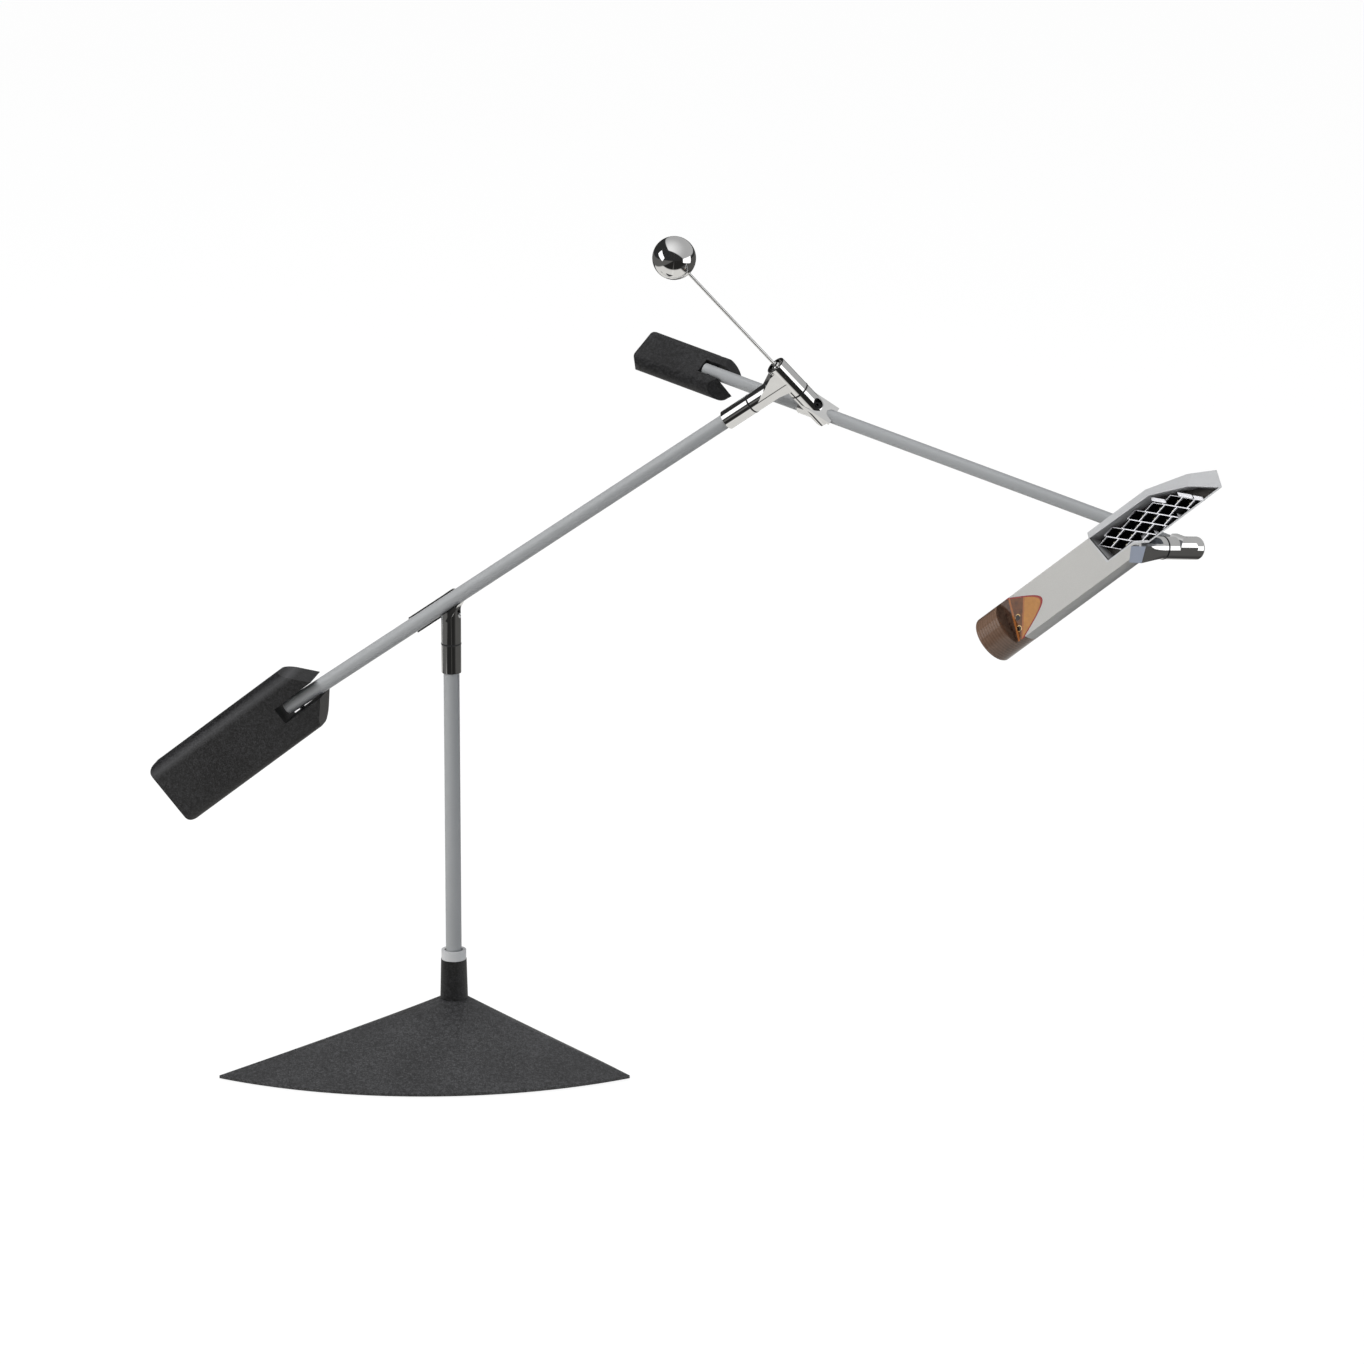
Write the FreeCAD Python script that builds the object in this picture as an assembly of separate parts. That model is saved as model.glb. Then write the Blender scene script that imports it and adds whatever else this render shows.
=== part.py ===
import FreeCAD, Part
import math
import os
from FreeCAD import Placement, Rotation, Vector

# Desk lamp: a heavy three-cornered foot, an upright stem, two balanced arms and an LED head.
# Millimetres and degrees, +Z up. The origin is on the table under the stem's axis.
# Each arm lies in a saddle that swivels on the part before it, and carries a counterweight
# on its short end. Every frame below has its Z axis along the tube or swivel that it names.

# Angles of the chain of swivels, in degrees
saddle_angle = 54.2
lower_arm_spin_angle = -18.36
elbow_spin_angle = 24.13
elbow_angle = 90.0
upper_arm_spin_angle = -144.2
head_saddle_spin_angle = -133.91
head_saddle_angle = 65.22
head_spin_angle = 127.01
head_angle = 77.94
head_roll_angle = 1.85

# Heights on the stem and places along the arms
foot_thickness = 1.0
rim_thickness = 2.2
neck_bottom = 37.9
neck_top = 68.4
collar_top = 75.5
stem_ring_height = 313.1
stem_sleeve_length = 21.9
stem_saddle_rise = 32.9
lower_tail = 161.1
elbow_ring_along = 287.7
elbow_sleeve_length = 23.8
elbow_rise = 34.3
upper_ring_along = 12.0
upper_saddle_rise = 23.4
upper_tail = 97.9
head_along = 296.9
head_ring_along = -14.5

# Foot
foot_left_reach = 172.0
foot_right_reach = 132.0
foot_front_reach = 80.0
foot_front_bulge = 42.0
foot_back_reach = 103.0
foot_back_shift = 2.0
foot_side_bulge = 3.0
foot_plate_inset = 4.5
neck_bottom_radius = 10.4
neck_top_radius = 9.6
collar_radius = 9.3
collar_bore_radius = 6.8

# Tubes and swivels
stem_radius = 6.0
lower_tube_radius = 5.6
upper_tube_radius = 4.9
tube_wall = 1.2
tube_seat_depth = 9.0
stem_foot_depth = 6.0
barrel_radius = 7.33
ring_radius = 6.85
ring_thickness = 1.0
spindle_radius = 3.0
spindle_reach = 7.0
head_barrel_radius = 8.2
head_ring_radius = 7.7
head_swivel_drop = 2.2
running_gap = 0.05
seat_gap = 0.05
overrun = 2.0

# Saddles
channel_wall = 1.0
stem_channel_tail = 36.9
upper_channel_tail = 16.0
channel_front = 6.7
facet_distance = 7.67
facet_thickness = 2.8
facet_near_end = 13.5
facet_far_end = 10.5
screw_shift = 4.2
facet_screen = 0.0
screw_head_radius = 3.75
screw_head_height = 2.0
screw_shank_radius = 2.0
screw_socket_radius = 1.5
screw_socket_depth = 1.2
screw_sink = 0.9

# Elbow
elbow_far_end = 15.3
elbow_web_half = 7.2
elbow_hollow_radius = 5.9
elbow_hollow_depth = 6.0
nut_across_flats = 8.0
nut_height = 4.6
rod_radius = 1.1
ball_along = 130.3
ball_radius = 15.7
web_shares = [(0.9, 0.04), (0.217, -1.63), (0.0, -1.8), (0.0, 0.9), (0.124, 0.82), (0.4, 0.585),
              (0.86, 0.575)]

# Counterweights, whose crest is where the two end planes would meet over the slot
lower_weight_far = 119.3
lower_weight_height = 52.0
lower_weight_thickness = 24.0
lower_weight_face = 12.0
lower_weight_crest = 39.6
lower_weight_corner = 5.0
lower_weight_round = 8.0
lower_slot_clearance = 1.25
lower_slot_relief = 3.7
lower_pin_along = 10.0
lower_weight_turn_angle = 185.8
lower_weight_tilt_angle = 2.9
upper_weight_far = 53.0
upper_weight_height = 35.3
upper_weight_thickness = 14.0
upper_weight_face = 3.5
upper_weight_crest = 20.5
upper_weight_corner = 7.0
upper_weight_round = 6.5
upper_slot_clearance = 1.5
upper_slot_relief = 1.8
upper_pin_along = 6.0
upper_weight_turn_angle = 261.3
weight_pin_radius = 2.0
weight_pin_blind = 5.0
weight_pin_sink = 1.0
lower_slope_share = 0.95
lower_lean_share = 0.0
upper_slope_share = 0.47
upper_lean_share = 0.8

# Head
head_radius = 17.7
head_flat = 6.7
head_wall = 1.8
head_axis_side = 11.45
head_axis_depth = -3.22
head_axis_shift = -0.6
head_axis_along = -27.2
head_body_end = -120.0
head_hollow_start = -92.0
head_hollow_end = -44.0
bracket_tip = -44.1
head_saddle_end = 19.6
head_saddle_round = 2.4
head_sleeve_back = 6.0
head_sleeve_front = 15.0
upper_tube_end = 4.0
facet_slope_share = 1.057
facet_shares = [(-0.85, 0.41), (0.0, 0.11), (-0.134, -1.33), (-0.85, -1.134)]
facet_turns = [150, 60, -60, -130]
waist_share = 0.41
spot_clearance = 0.5

# Amber tail cap
cap_end = -150.0
cap_flat_start = -129.0
cone_tip = -94.4
cone_end = -119.5
cone_tip_radius = 6.7
cone_end_radius = 17.0
cap_wall = 2.2
cap_channel_radius = 4.0
frame_share = 0.6
hole_share = 0.12

# LED housing, whose outline is given as shares of its length along and width across the head
mouth_shares = [(0.0, 0.0), (0.062, 0.775), (0.28, 0.765), (0.385, 1.0), (0.985, 0.965), (0.79, 0.46),
                (0.51, 0.03)]
outer_shares = [(-0.018, -0.22), (0.05, 0.81), (0.27, 0.81), (0.38, 1.04), (1.005, 1.01), (0.957, 0.355),
                (0.767, 0.02), (0.482, -0.22)]
rim_shares = [(0.0, -0.015), (0.508, -0.015), (0.79, 0.43), (1.0, 0.985)]
housing_start = -38.4
housing_length = 116.5
housing_left = -16.0
housing_width = 29.5
housing_back = -9.0
housing_floor = 2.0
housing_wall = 1.0
bevel_drop = 4.0
bevel_nose_drop = 8.8
bevel_tip_drop = 12.2
lean_across_share = 0.487
lean_along_share = 0.612
board_thickness = 1.2
reflector_height = 8.0
reflector_gap = 0.3
reflector_wall = 0.8
cell_along_share = 0.104
cell_across_share = 0.235
first_cell_share = 0.12
first_column_share = 0.75
row_shift_share = 0.17
cup_share = 0.65
led_size = 2.4
led_height = 0.8

# Columns of the reflectors in each row, from the near end: the first, past the last, past the last LED
cell_columns = [(0, 3, 3), (0, 3, 3), (0, 3, 3), (0, 3, 2), (0, 3, 2), (0, 3, 2), (1, 2, 2)]

X = Vector(1, 0, 0)
Y = Vector(0, 1, 0)
Z = Vector(0, 0, 1)


def branch(frame, along, spin, tilt):
    """Frame at a distance along another one's Z, spun about that Z and tilted about the new Y."""
    turn = Rotation(Z, spin).multiply(Rotation(Y, tilt))
    return frame.multiply(Placement(Vector(0, 0, along), turn))


def placed(shape, frame):
    """Copy of a shape that was built at the origin, set into a frame."""
    copy = shape.copy()
    copy.Placement = frame.multiply(copy.Placement)
    return copy


def bar(radius, start, end):
    """Round bar along Z between two places."""
    return Part.makeCylinder(radius, end - start, Vector(0, 0, start), Z)


def block(x_range, y_range, z_range):
    """Box between limits along each axis."""
    (x0, x1), (y0, y1), (z0, z1) = x_range, y_range, z_range
    return Part.makeBox(x1 - x0, y1 - y0, z1 - z0, Vector(x0, y0, z0))


def prism(points, depth):
    """Closed outline of points, pushed along a vector."""
    wire = Part.makePolygon(list(points) + [points[0]])
    return Part.Face(wire).extrude(depth)


def beyond_plane(point, first, second, inside, size, inset=0.0):
    """Block beyond the plane through three points, moved towards an inside point by an inset."""
    normal = (first - point).cross(second - point)
    normal.normalize()
    if normal.dot(inside - point) > 0:
        normal = -normal
    turn = Rotation(Z, normal)
    cutter = block((-size, size), (-size, size), (0, size))
    return placed(cutter, Placement(point - normal * inset, turn))


# The chain of frames, from the table to the head
stem = Placement()
lower_arm_height = stem_ring_height + stem_saddle_rise
elbow_along = elbow_ring_along + elbow_rise
upper_arm_along = upper_ring_along + upper_saddle_rise
lower_arm = branch(stem, lower_arm_height, lower_arm_spin_angle, saddle_angle)
elbow = branch(lower_arm, elbow_along, elbow_spin_angle, elbow_angle)
upper_arm = branch(elbow, upper_arm_along, upper_arm_spin_angle, saddle_angle)
head_line = branch(upper_arm, head_along, head_saddle_spin_angle, head_saddle_angle)
head_swivel = head_line.multiply(Placement(Vector(0, -head_swivel_drop, 0), Rotation()))
head_turn = branch(head_line, head_axis_along, head_spin_angle, head_angle)
head_turn = head_turn.multiply(Placement(Vector(0, 0, 0), Rotation(Z, head_roll_angle)))
head = head_turn.multiply(Placement(Vector(-head_axis_depth, -head_axis_side, -head_axis_shift), Rotation()))


# Foot, neck and stem
def foot_outline(height):
    """Outline of the foot: a bulged front between two sharp tips, and a corner behind."""
    left = Vector(-foot_left_reach, -foot_front_reach, height)
    right = Vector(foot_right_reach, -foot_front_reach, height)
    back = Vector(foot_back_shift, foot_back_reach, height)
    edges = []
    for start, end, bulge in ((left, right, foot_front_bulge), (right, back, foot_side_bulge),
                              (back, left, foot_side_bulge)):
        middle = (start + end) * 0.5
        outward = (end - start).cross(Z)
        outward.normalize()
        edges.append(Part.Arc(start, middle + outward * bulge, end).toShape())
    return edges, (left, right, back)


def foot_casting():
    """Solid casting whose skin is ruled from the outline up to the neck's circle."""
    rim_top = foot_thickness + rim_thickness
    edges, corners = foot_outline(rim_top)
    angles = [math.atan2(corner.y, corner.x) for corner in corners]
    ring = []
    for index, start in enumerate(angles):
        end = angles[(index + 1) % len(angles)]
        while end < start:
            end += 2 * math.pi
        stops = [start, (start + end) / 2, end]
        points = [Vector(neck_bottom_radius * math.cos(a), neck_bottom_radius * math.sin(a), neck_bottom)
                  for a in stops]
        ring.append(Part.Arc(*points).toShape())
    skin = Part.makeLoft([Part.Wire(edges), Part.Wire(ring)], True, True)
    low_edges, _ = foot_outline(foot_thickness)
    rim = Part.Face(Part.Wire(low_edges)).extrude(Vector(0, 0, rim_thickness))
    casting = skin.fuse(rim).removeSplitter()
    return casting.cut(bar(stem_radius + seat_gap, stem_foot_depth, neck_bottom + overrun))


def foot_plate():
    """Thin plate under the foot, set in from the rim."""
    edges, _ = foot_outline(0)
    face = Part.Face(Part.Wire(edges)).makeOffset2D(-foot_plate_inset)
    return face.extrude(Vector(0, 0, foot_thickness))


def neck():
    """Cone that carries the stem above the foot."""
    cone = Part.makeCone(neck_bottom_radius, neck_top_radius, neck_top - neck_bottom,
                         Vector(0, 0, neck_bottom), Z)
    return cone.cut(bar(stem_radius + seat_gap, neck_bottom - overrun, neck_top + overrun))


def collar():
    """Ring on top of the neck, with a narrow gap round the stem."""
    return bar(collar_radius, neck_top, collar_top).cut(
        bar(collar_bore_radius, neck_top - overrun, collar_top + overrun))


def tube(radius, start, end):
    """Thin round tube along Z."""
    return bar(radius, start, end).cut(bar(radius - tube_wall, start - overrun, end + overrun))


# Swivels: each has a sleeve or barrel, a friction ring and a spindle
def swivel_ring(at, radius):
    """Friction ring, centred on its place and pierced by the spindle."""
    half = ring_thickness / 2
    ring = bar(radius, at - half, at + half)
    return ring.cut(bar(spindle_radius + running_gap, at - ring_thickness, at + ring_thickness))


def spindle(at):
    """Pin that joins the two barrels of a swivel."""
    return bar(spindle_radius, at - spindle_reach, at + spindle_reach)


def spindle_bore(at, gap):
    """Cutter for the spindle, with a gap round it and at its ends."""
    reach = spindle_reach + ring_thickness
    return bar(spindle_radius + gap, at - reach, at + reach)


def tube_sleeve(length, ring_at, tube_radius):
    """Bright sleeve that closes a tube's end and holds the spindle."""
    start = ring_at - length
    sleeve = bar(barrel_radius, start, ring_at - ring_thickness / 2)
    sleeve = sleeve.cut(bar(tube_radius + seat_gap, start - overrun, start + tube_seat_depth))
    return sleeve.cut(spindle_bore(ring_at, running_gap))


# Saddles: a barrel, a half pipe that holds the tube and a flat plate across their inner corner
def facet_frame(crossing, angle):
    """Frame on the crossing of barrel and tube: Z is square to the plate, X runs back along it."""
    return Placement(Vector(0, 0, crossing), Rotation(Y, 90 + angle / 2))


def tube_line(crossing, angle):
    """Frame on the crossing whose Z runs along the tube and whose X points at the plate's side."""
    return Placement(Vector(0, 0, crossing), Rotation(Y, angle))


def saddle(ring_at, crossing, tube_radius, tail, open_reach):
    """Saddle in its swivel's frame, open towards -Y up to a reach on the plate's side of the tube."""
    line = tube_line(crossing, saddle_angle)
    outer = tube_radius + channel_wall
    far = tail * 2
    post = bar(barrel_radius, ring_at + ring_thickness / 2, crossing + barrel_radius)
    plate = block((-facet_far_end, facet_near_end), (-barrel_radius, barrel_radius),
                  (facet_distance - facet_thickness, facet_distance))
    above = block((-far, far), (-barrel_radius * 2, barrel_radius * 2), (facet_distance, far))
    beyond = block((-far, facet_screen), (-barrel_radius * 2, barrel_radius * 2), (facet_distance, far))
    post = post.cut(placed(beyond, facet_frame(crossing, saddle_angle)))
    post = post.cut(placed(block((-far, -outer), (-far, far), (-far, far)), line))
    plate = placed(plate, facet_frame(crossing, saddle_angle))
    pipe = bar(outer, -tail, channel_front)
    pipe = pipe.cut(block((-far, far), (-far, 0), (-far, far)))
    pipe = placed(pipe, line).cut(placed(above, facet_frame(crossing, saddle_angle)))
    part = post.fuse([plate, pipe])
    part = part.cut(placed(block((-far, open_reach), (-far, 0), (-far, far)), line))
    part = part.cut(placed(bar(tube_radius + seat_gap, -far, far), line))
    part = part.cut(placed(saddle_screw(seat_gap, False), facet_frame(crossing, saddle_angle)))
    return part.cut(spindle_bore(ring_at, seat_gap)).removeSplitter()


def saddle_screw(gap=0.0, socket=True):
    """Cap screw square to the plate, from the tube to just under the plate's face."""
    top = facet_distance - screw_sink
    head_start = top - screw_head_height
    if not socket:
        top = facet_distance + screw_head_radius * 2
    screw = bar(screw_head_radius + gap, head_start, top)
    screw = screw.fuse(bar(screw_shank_radius + gap, 0, head_start))
    if socket:
        screw = screw.cut(bar(screw_socket_radius, top - screw_socket_depth, top + overrun))
    return placed(screw, Placement(Vector(screw_shift, 0, 0), Rotation()))


def upright_screw(crossing, tube_radius):
    """Saddle screw in the swivel's frame, cut off at the tube's outside."""
    screw = placed(saddle_screw(), facet_frame(crossing, saddle_angle))
    reach = barrel_radius * 2
    return screw.cut(placed(bar(tube_radius, -reach, reach), tube_line(crossing, saddle_angle)))


# Elbow: the barrel from the lower arm meets a cross barrel that carries the upper saddle
def elbow_body():
    """Elbow in the cross barrel's frame, where the lower arm's barrel comes in along +X."""
    reach = elbow_rise - ring_thickness / 2
    entry = Part.makeCylinder(barrel_radius, reach, Vector(0, 0, 0), X)
    top = upper_ring_along - ring_thickness / 2
    cross = bar(barrel_radius, -elbow_far_end, top)
    points = [Vector(reach * x, -elbow_web_half, barrel_radius * z) for x, z in web_shares]
    web = prism(points, Vector(0, 2 * elbow_web_half, 0))
    body = entry.fuse([cross, web])
    body = body.cut(bar(elbow_hollow_radius, -elbow_far_end - overrun, elbow_hollow_depth - elbow_far_end))
    body = body.cut(bar(rod_radius + seat_gap, -elbow_far_end, -barrel_radius / 2))
    body = body.cut(spindle_bore(upper_ring_along, running_gap))
    entry_bore = Placement(Vector(elbow_along, 0, 0), Rotation(Y, -elbow_angle))
    body = body.cut(placed(spindle_bore(elbow_ring_along, seat_gap), entry_bore))
    return body.removeSplitter()


def rod_nut():
    """Hexagon nut at the bottom of the cross barrel's hollow end."""
    seat = elbow_hollow_depth - elbow_far_end
    corner = nut_across_flats / math.sqrt(3)
    points = [Vector(corner * math.cos(math.pi * i / 3), corner * math.sin(math.pi * i / 3), seat - nut_height)
              for i in range(6)]
    nut = prism(points, Vector(0, 0, nut_height))
    return nut.cut(bar(rod_radius + seat_gap, seat - nut_height - overrun, seat + overrun))


def balance_rod():
    """Thin rod from the cross barrel down to the ball."""
    return bar(rod_radius, -ball_along, -barrel_radius / 2 - seat_gap)


def balance_ball():
    """Ball on the end of the rod."""
    ball = Part.makeSphere(ball_radius, Vector(0, 0, -ball_along))
    return ball.cut(bar(rod_radius + seat_gap, -ball_along - seat_gap, -ball_along + ball_radius + overrun))


# Counterweights: slabs with round long edges and a pointed end that is slotted for the arm's tail
def slab_section(height, thickness, face, radius):
    """Rectangle with round corners, whose front face lies at +Y."""
    centre = Vector(0, face - thickness / 2, 0)
    x = height / 2 - radius
    y = thickness / 2 - radius
    edges = []
    corners = ((x, y, 0), (-x, y, 90), (-x, -y, 180), (x, -y, 270))
    spots = []
    for cx, cy, start in corners:
        arc = [centre + Vector(cx, cy, 0) + Rotation(Z, start + turn).multVec(X) * radius for turn in (0, 45, 90)]
        spots.append(arc)
    for index, arc in enumerate(spots):
        edges.append(Part.Arc(*arc).toShape())
        edges.append(Part.makeLine(arc[2], spots[(index + 1) % 4][0]))
    return Part.Wire(edges)


def counterweight(far, height, thickness, face, crest, slope, lean, radius, corner):
    """Slab along Z from its far end to two end planes that meet at the crest; +X is its height."""
    half = height / 2
    wire = slab_section(height, thickness, face, radius)
    slab = Part.Face(wire).extrude(Vector(0, 0, far + crest * 2))
    slab = placed(slab, Placement(Vector(0, 0, -far), Rotation()))
    plan = block((-half, half), (-thickness * 2, thickness * 2), (-far, crest * 2))
    upright = [edge for edge in plan.Edges if edge.BoundBox.YLength > thickness and edge.BoundBox.ZMax < 0]
    slab = slab.common(plan.makeFillet(corner, upright))
    top = Vector(0, 0, crest)
    behind = Vector(0, -thickness, crest + thickness * lean)
    for side in (-1, 1):
        edge = Vector(side * half, 0, crest - half * slope)
        slab = slab.cut(beyond_plane(top, behind, edge, Vector(0, 0, -far), far + crest))
    return slab


def slotted(slab, height, thickness, crest, slot, relief, shift, pin):
    """Slab with a slot for the arm's tail through its thickness, and a hole for the pin."""
    opening = block((shift - slot, shift + slot), (-thickness * 2, thickness * 2), (-relief, crest * 2))
    return slab.cut(opening).cut(pin)


def weight_pin(height, along, side, sink, gap=0.0):
    """Cross pin through a tail, sunk on the side it was put in from and blind on the other."""
    half = height / 2
    ends = sorted((side * (half - sink), side * (weight_pin_blind - half - gap)))
    return Part.makeCylinder(weight_pin_radius + gap, ends[1] - ends[0], Vector(ends[0], 0, along), X)


def tailed_tube(radius, tail, end, pin, turn, tilt):
    """Arm tube whose tail is pierced by its counterweight's pin."""
    return tube(radius, -tail, end).cut(placed(pin, weight_frame(Placement(), tail, turn, tilt)))


def weight_frame(arm, tail, turn, tilt):
    """Frame on a tube's tail end, turned about the arm and tilted a little."""
    frame = arm.multiply(Placement(Vector(0, 0, -tail), Rotation(Z, turn)))
    return frame.multiply(Placement(Vector(0, 0, 0), Rotation(Y, tilt)))


# Head: a cylinder with a flat, carried on its edge by a barrel, with the LED housing at its nose
def flat_cut(height, start, end):
    """Block that removes everything above a flat at a height on the +X side."""
    return block((height, head_radius * 2), (-head_radius * 2, head_radius * 2), (start, end))


def housing_plan(share, x):
    """Point of the housing's outline at a depth, from its shares along and across."""
    along, across = share
    return Vector(x, housing_left + housing_width * across, housing_start + housing_length * along)


def led_housing():
    """Shallow dish with a straight near end, a bevelled side and a faceted nose."""
    outer = prism([housing_plan(s, housing_back) for s in outer_shares],
                  Vector(head_flat - housing_back, 0, 0))
    rim = [housing_plan(s, head_flat) for s in rim_shares]
    side = housing_plan(outer_shares[-1], head_flat - bevel_drop)
    shoulder = housing_plan(outer_shares[-2], head_flat - bevel_nose_drop)
    tip = housing_plan(outer_shares[-3], head_flat - bevel_tip_drop)
    inside = Vector(housing_back, 0, 0)
    size = housing_length * 2
    for first, second, third in ((rim[0], rim[1], side), (rim[1], rim[2], side), (rim[2], rim[3], tip)):
        outer = outer.cut(beyond_plane(first, second, third, inside, size))
    outer = outer.cut(undercut(0))
    floor = housing_back + housing_floor
    mouth = prism([housing_plan(s, floor) for s in mouth_shares], Vector(head_flat - floor + overrun, 0, 0))
    return outer.cut(mouth.cut(undercut(housing_wall))).cut(placed(swivel_room(), head_to_swivel()))


def undercut(inset):
    """Cutter for the nose's lower side and end, which lean in under the rim."""
    low = housing_plan(outer_shares[3], head_flat)
    high = housing_plan(outer_shares[4], head_flat)
    tip = housing_plan(outer_shares[5], head_flat - bevel_tip_drop)
    lean = high + Vector(-1, -lean_across_share, -lean_along_share) * bevel_tip_drop
    middle = housing_plan((0.5, 0.2), head_flat)
    size = housing_length
    side = beyond_plane(high, low, lean, middle, size, inset)
    return side.fuse(beyond_plane(high, tip, lean, middle, size, inset))


def head_to_swivel():
    """Placement of the swivel's frame as seen from the head's frame."""
    return head.inverse().multiply(head_swivel)


def swivel_room():
    """Space behind the bracket for the part of the swivel that turns against the head."""
    ring_side = head_ring_along - ring_thickness / 2
    return bar(head_barrel_radius + spot_clearance, ring_side - spot_clearance, head_saddle_end * 2)


def head_body():
    """Hollow cylinder with a flat, a conical seat for the cap and room for the housing."""
    body = bar(head_radius, head_body_end, head_axis_shift)
    body = body.cut(flat_cut(head_flat, head_body_end - overrun, head_axis_shift + overrun))
    hollow = bar(head_radius - head_wall, head_hollow_start, head_hollow_end)
    hollow = hollow.cut(flat_cut(head_flat - head_wall, head_hollow_start - overrun, head_hollow_end + overrun))
    body = body.cut(hollow)
    body = body.cut(bar(cap_channel_radius, cone_tip - overrun, head_hollow_start + overrun))
    body = body.cut(cap_cone(seat_gap))
    space = prism([housing_plan(s, housing_back) for s in outer_shares],
                  Vector(head_radius * 2, 0, 0))
    body = body.cut(space)
    body = body.cut(placed(swivel_room(), head_to_swivel()))
    return body.cut(placed(bracket_form(), head_to_swivel()))


def cap_cone(gap):
    """Cone of the amber cap that plugs the head's tail."""
    cone = Part.makeCone(cone_tip_radius + gap, cone_end_radius + gap, cone_tip - cone_end,
                         Vector(0, 0, cone_tip), -Z)
    return cone.fuse(bar(cone_end_radius + gap, head_body_end - overrun, cone_end))


def amber_cap():
    """Translucent cap: a short cylinder, a flat towards the head and a cone inside it."""
    cap = bar(head_radius, cap_end, head_body_end)
    cone = Part.makeCone(cone_tip_radius, cone_end_radius, cone_tip - cone_end, Vector(0, 0, cone_tip), -Z)
    cap = cap.fuse([cone, bar(cone_end_radius, head_body_end, cone_end)])
    cap = cap.cut(flat_cut(head_flat, cap_flat_start, cone_tip + overrun))
    space = bar(head_radius - cap_wall, cap_end + cap_wall, head_body_end)
    space = space.cut(flat_cut(head_flat - cap_wall, cap_end, cone_tip))
    cap = cap.cut(space)
    return cap.cut(bar(cap_channel_radius, head_body_end - overrun, cone_tip + overrun)).removeSplitter()


def cap_frame():
    """Small frame inside the cap, pierced by two round holes."""
    half = (head_radius - cap_wall) * frame_share
    top = head_flat - cap_wall * 2
    start = cap_end + cap_wall
    end = head_body_end - cap_wall
    frame = block((-half, top), (-half, half), (start, end))
    frame = frame.cut(block((-half - overrun, top - cap_wall), (cap_wall - half, half - cap_wall),
                            (start + cap_wall, end - cap_wall)))
    hole = (end - start) * hole_share
    for side in (-1, 1):
        spot = Vector(0, side * half / 2, (start + end) / 2)
        frame = frame.cut(Part.makeCylinder(hole, head_radius, spot, X))
    return frame


def bracket_facet():
    """Corners of the bracket's free end facet, in the swivel's frame."""
    size = head_barrel_radius
    return [Vector(x * size, y * size, bracket_tip - x * size * facet_slope_share) for x, y in facet_shares]


def bracket_form():
    """Barrel that grips the head's edge and widens towards an oblique flat end."""
    ring_side = head_ring_along - ring_thickness / 2
    corners = bracket_facet()
    circle = []
    waist = bracket_tip * waist_share
    for index, start in enumerate(facet_turns):
        end = facet_turns[(index + 1) % len(facet_turns)]
        if end > start:
            end -= 360
        arc = [Vector(0, 0, waist) + Rotation(Z, turn).multVec(X) * head_barrel_radius
               for turn in (start, (start + end) / 2, end)]
        circle.append(Part.Arc(*arc).toShape())
    quad = Part.makePolygon(corners + corners[:1])
    flare = Part.makeLoft([Part.Wire(circle), quad], True, True)
    return bar(head_barrel_radius, waist, ring_side).fuse(flare)


def head_bracket():
    """Bracket without the parts that would stand in the housing's mouth."""
    room = prism([housing_plan(share, housing_back) for share in outer_shares], Vector(head_radius * 2, 0, 0))
    part = bracket_form().cut(placed(room, head_to_swivel().inverse()))
    return part.cut(spindle_bore(head_ring_along, seat_gap))


def head_saddle():
    """Barrel on the upper tube's end, with a sleeve along the tube."""
    end = head_saddle_end
    barrel = bar(head_barrel_radius, head_ring_along + ring_thickness / 2, end)
    rim = [edge for edge in barrel.Edges if abs(edge.BoundBox.ZMin - end) < seat_gap and edge.Length > end]
    barrel = barrel.makeFillet(head_saddle_round, rim)
    line = head_swivel.inverse().multiply(upper_arm).multiply(Placement(Vector(0, 0, head_along), Rotation()))
    sleeve = placed(bar(barrel_radius, -head_sleeve_back, head_sleeve_front), line)
    keep = bar(head_barrel_radius, head_ring_along + ring_thickness, end - head_saddle_round)
    keep = placed(keep, Placement(Vector(0, head_swivel_drop, 0), Rotation()))
    part = barrel.fuse(sleeve.common(keep))
    part = part.cut(placed(bar(upper_tube_radius + seat_gap, -end * 2, upper_tube_end + seat_gap), line))
    return part.cut(spindle_bore(head_ring_along, running_gap)).removeSplitter()


def led_board():
    """Board on the housing's floor that fills its mouth."""
    floor = housing_back + housing_floor
    board = prism([housing_plan(s, floor) for s in mouth_shares], Vector(board_thickness, 0, 0))
    return board.cut(undercut(housing_wall)).cut(placed(swivel_room(), head_to_swivel()))


def reflector_places():
    """Centre of every reflector cell and whether it holds an LED."""
    step_z = housing_length * cell_along_share
    step_y = housing_width * cell_across_share
    first_z = housing_start + housing_length * first_cell_share
    first_y = housing_left + step_y * first_column_share
    places = []
    for row, (first, end, led_end) in enumerate(cell_columns):
        for column in range(first, end):
            y = first_y + (column + row * row_shift_share) * step_y
            places.append((y, first_z + row * step_z, column < led_end))
    return places


def square(x, y, z, half_y, half_z):
    """Closed rectangle in the plane at a depth, round a centre."""
    corners = [Vector(x, y + sy * half_y, z + sz * half_z) for sy, sz in ((-1, -1), (1, -1), (1, 1), (-1, 1))]
    return Part.makePolygon(corners + corners[:1])


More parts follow.
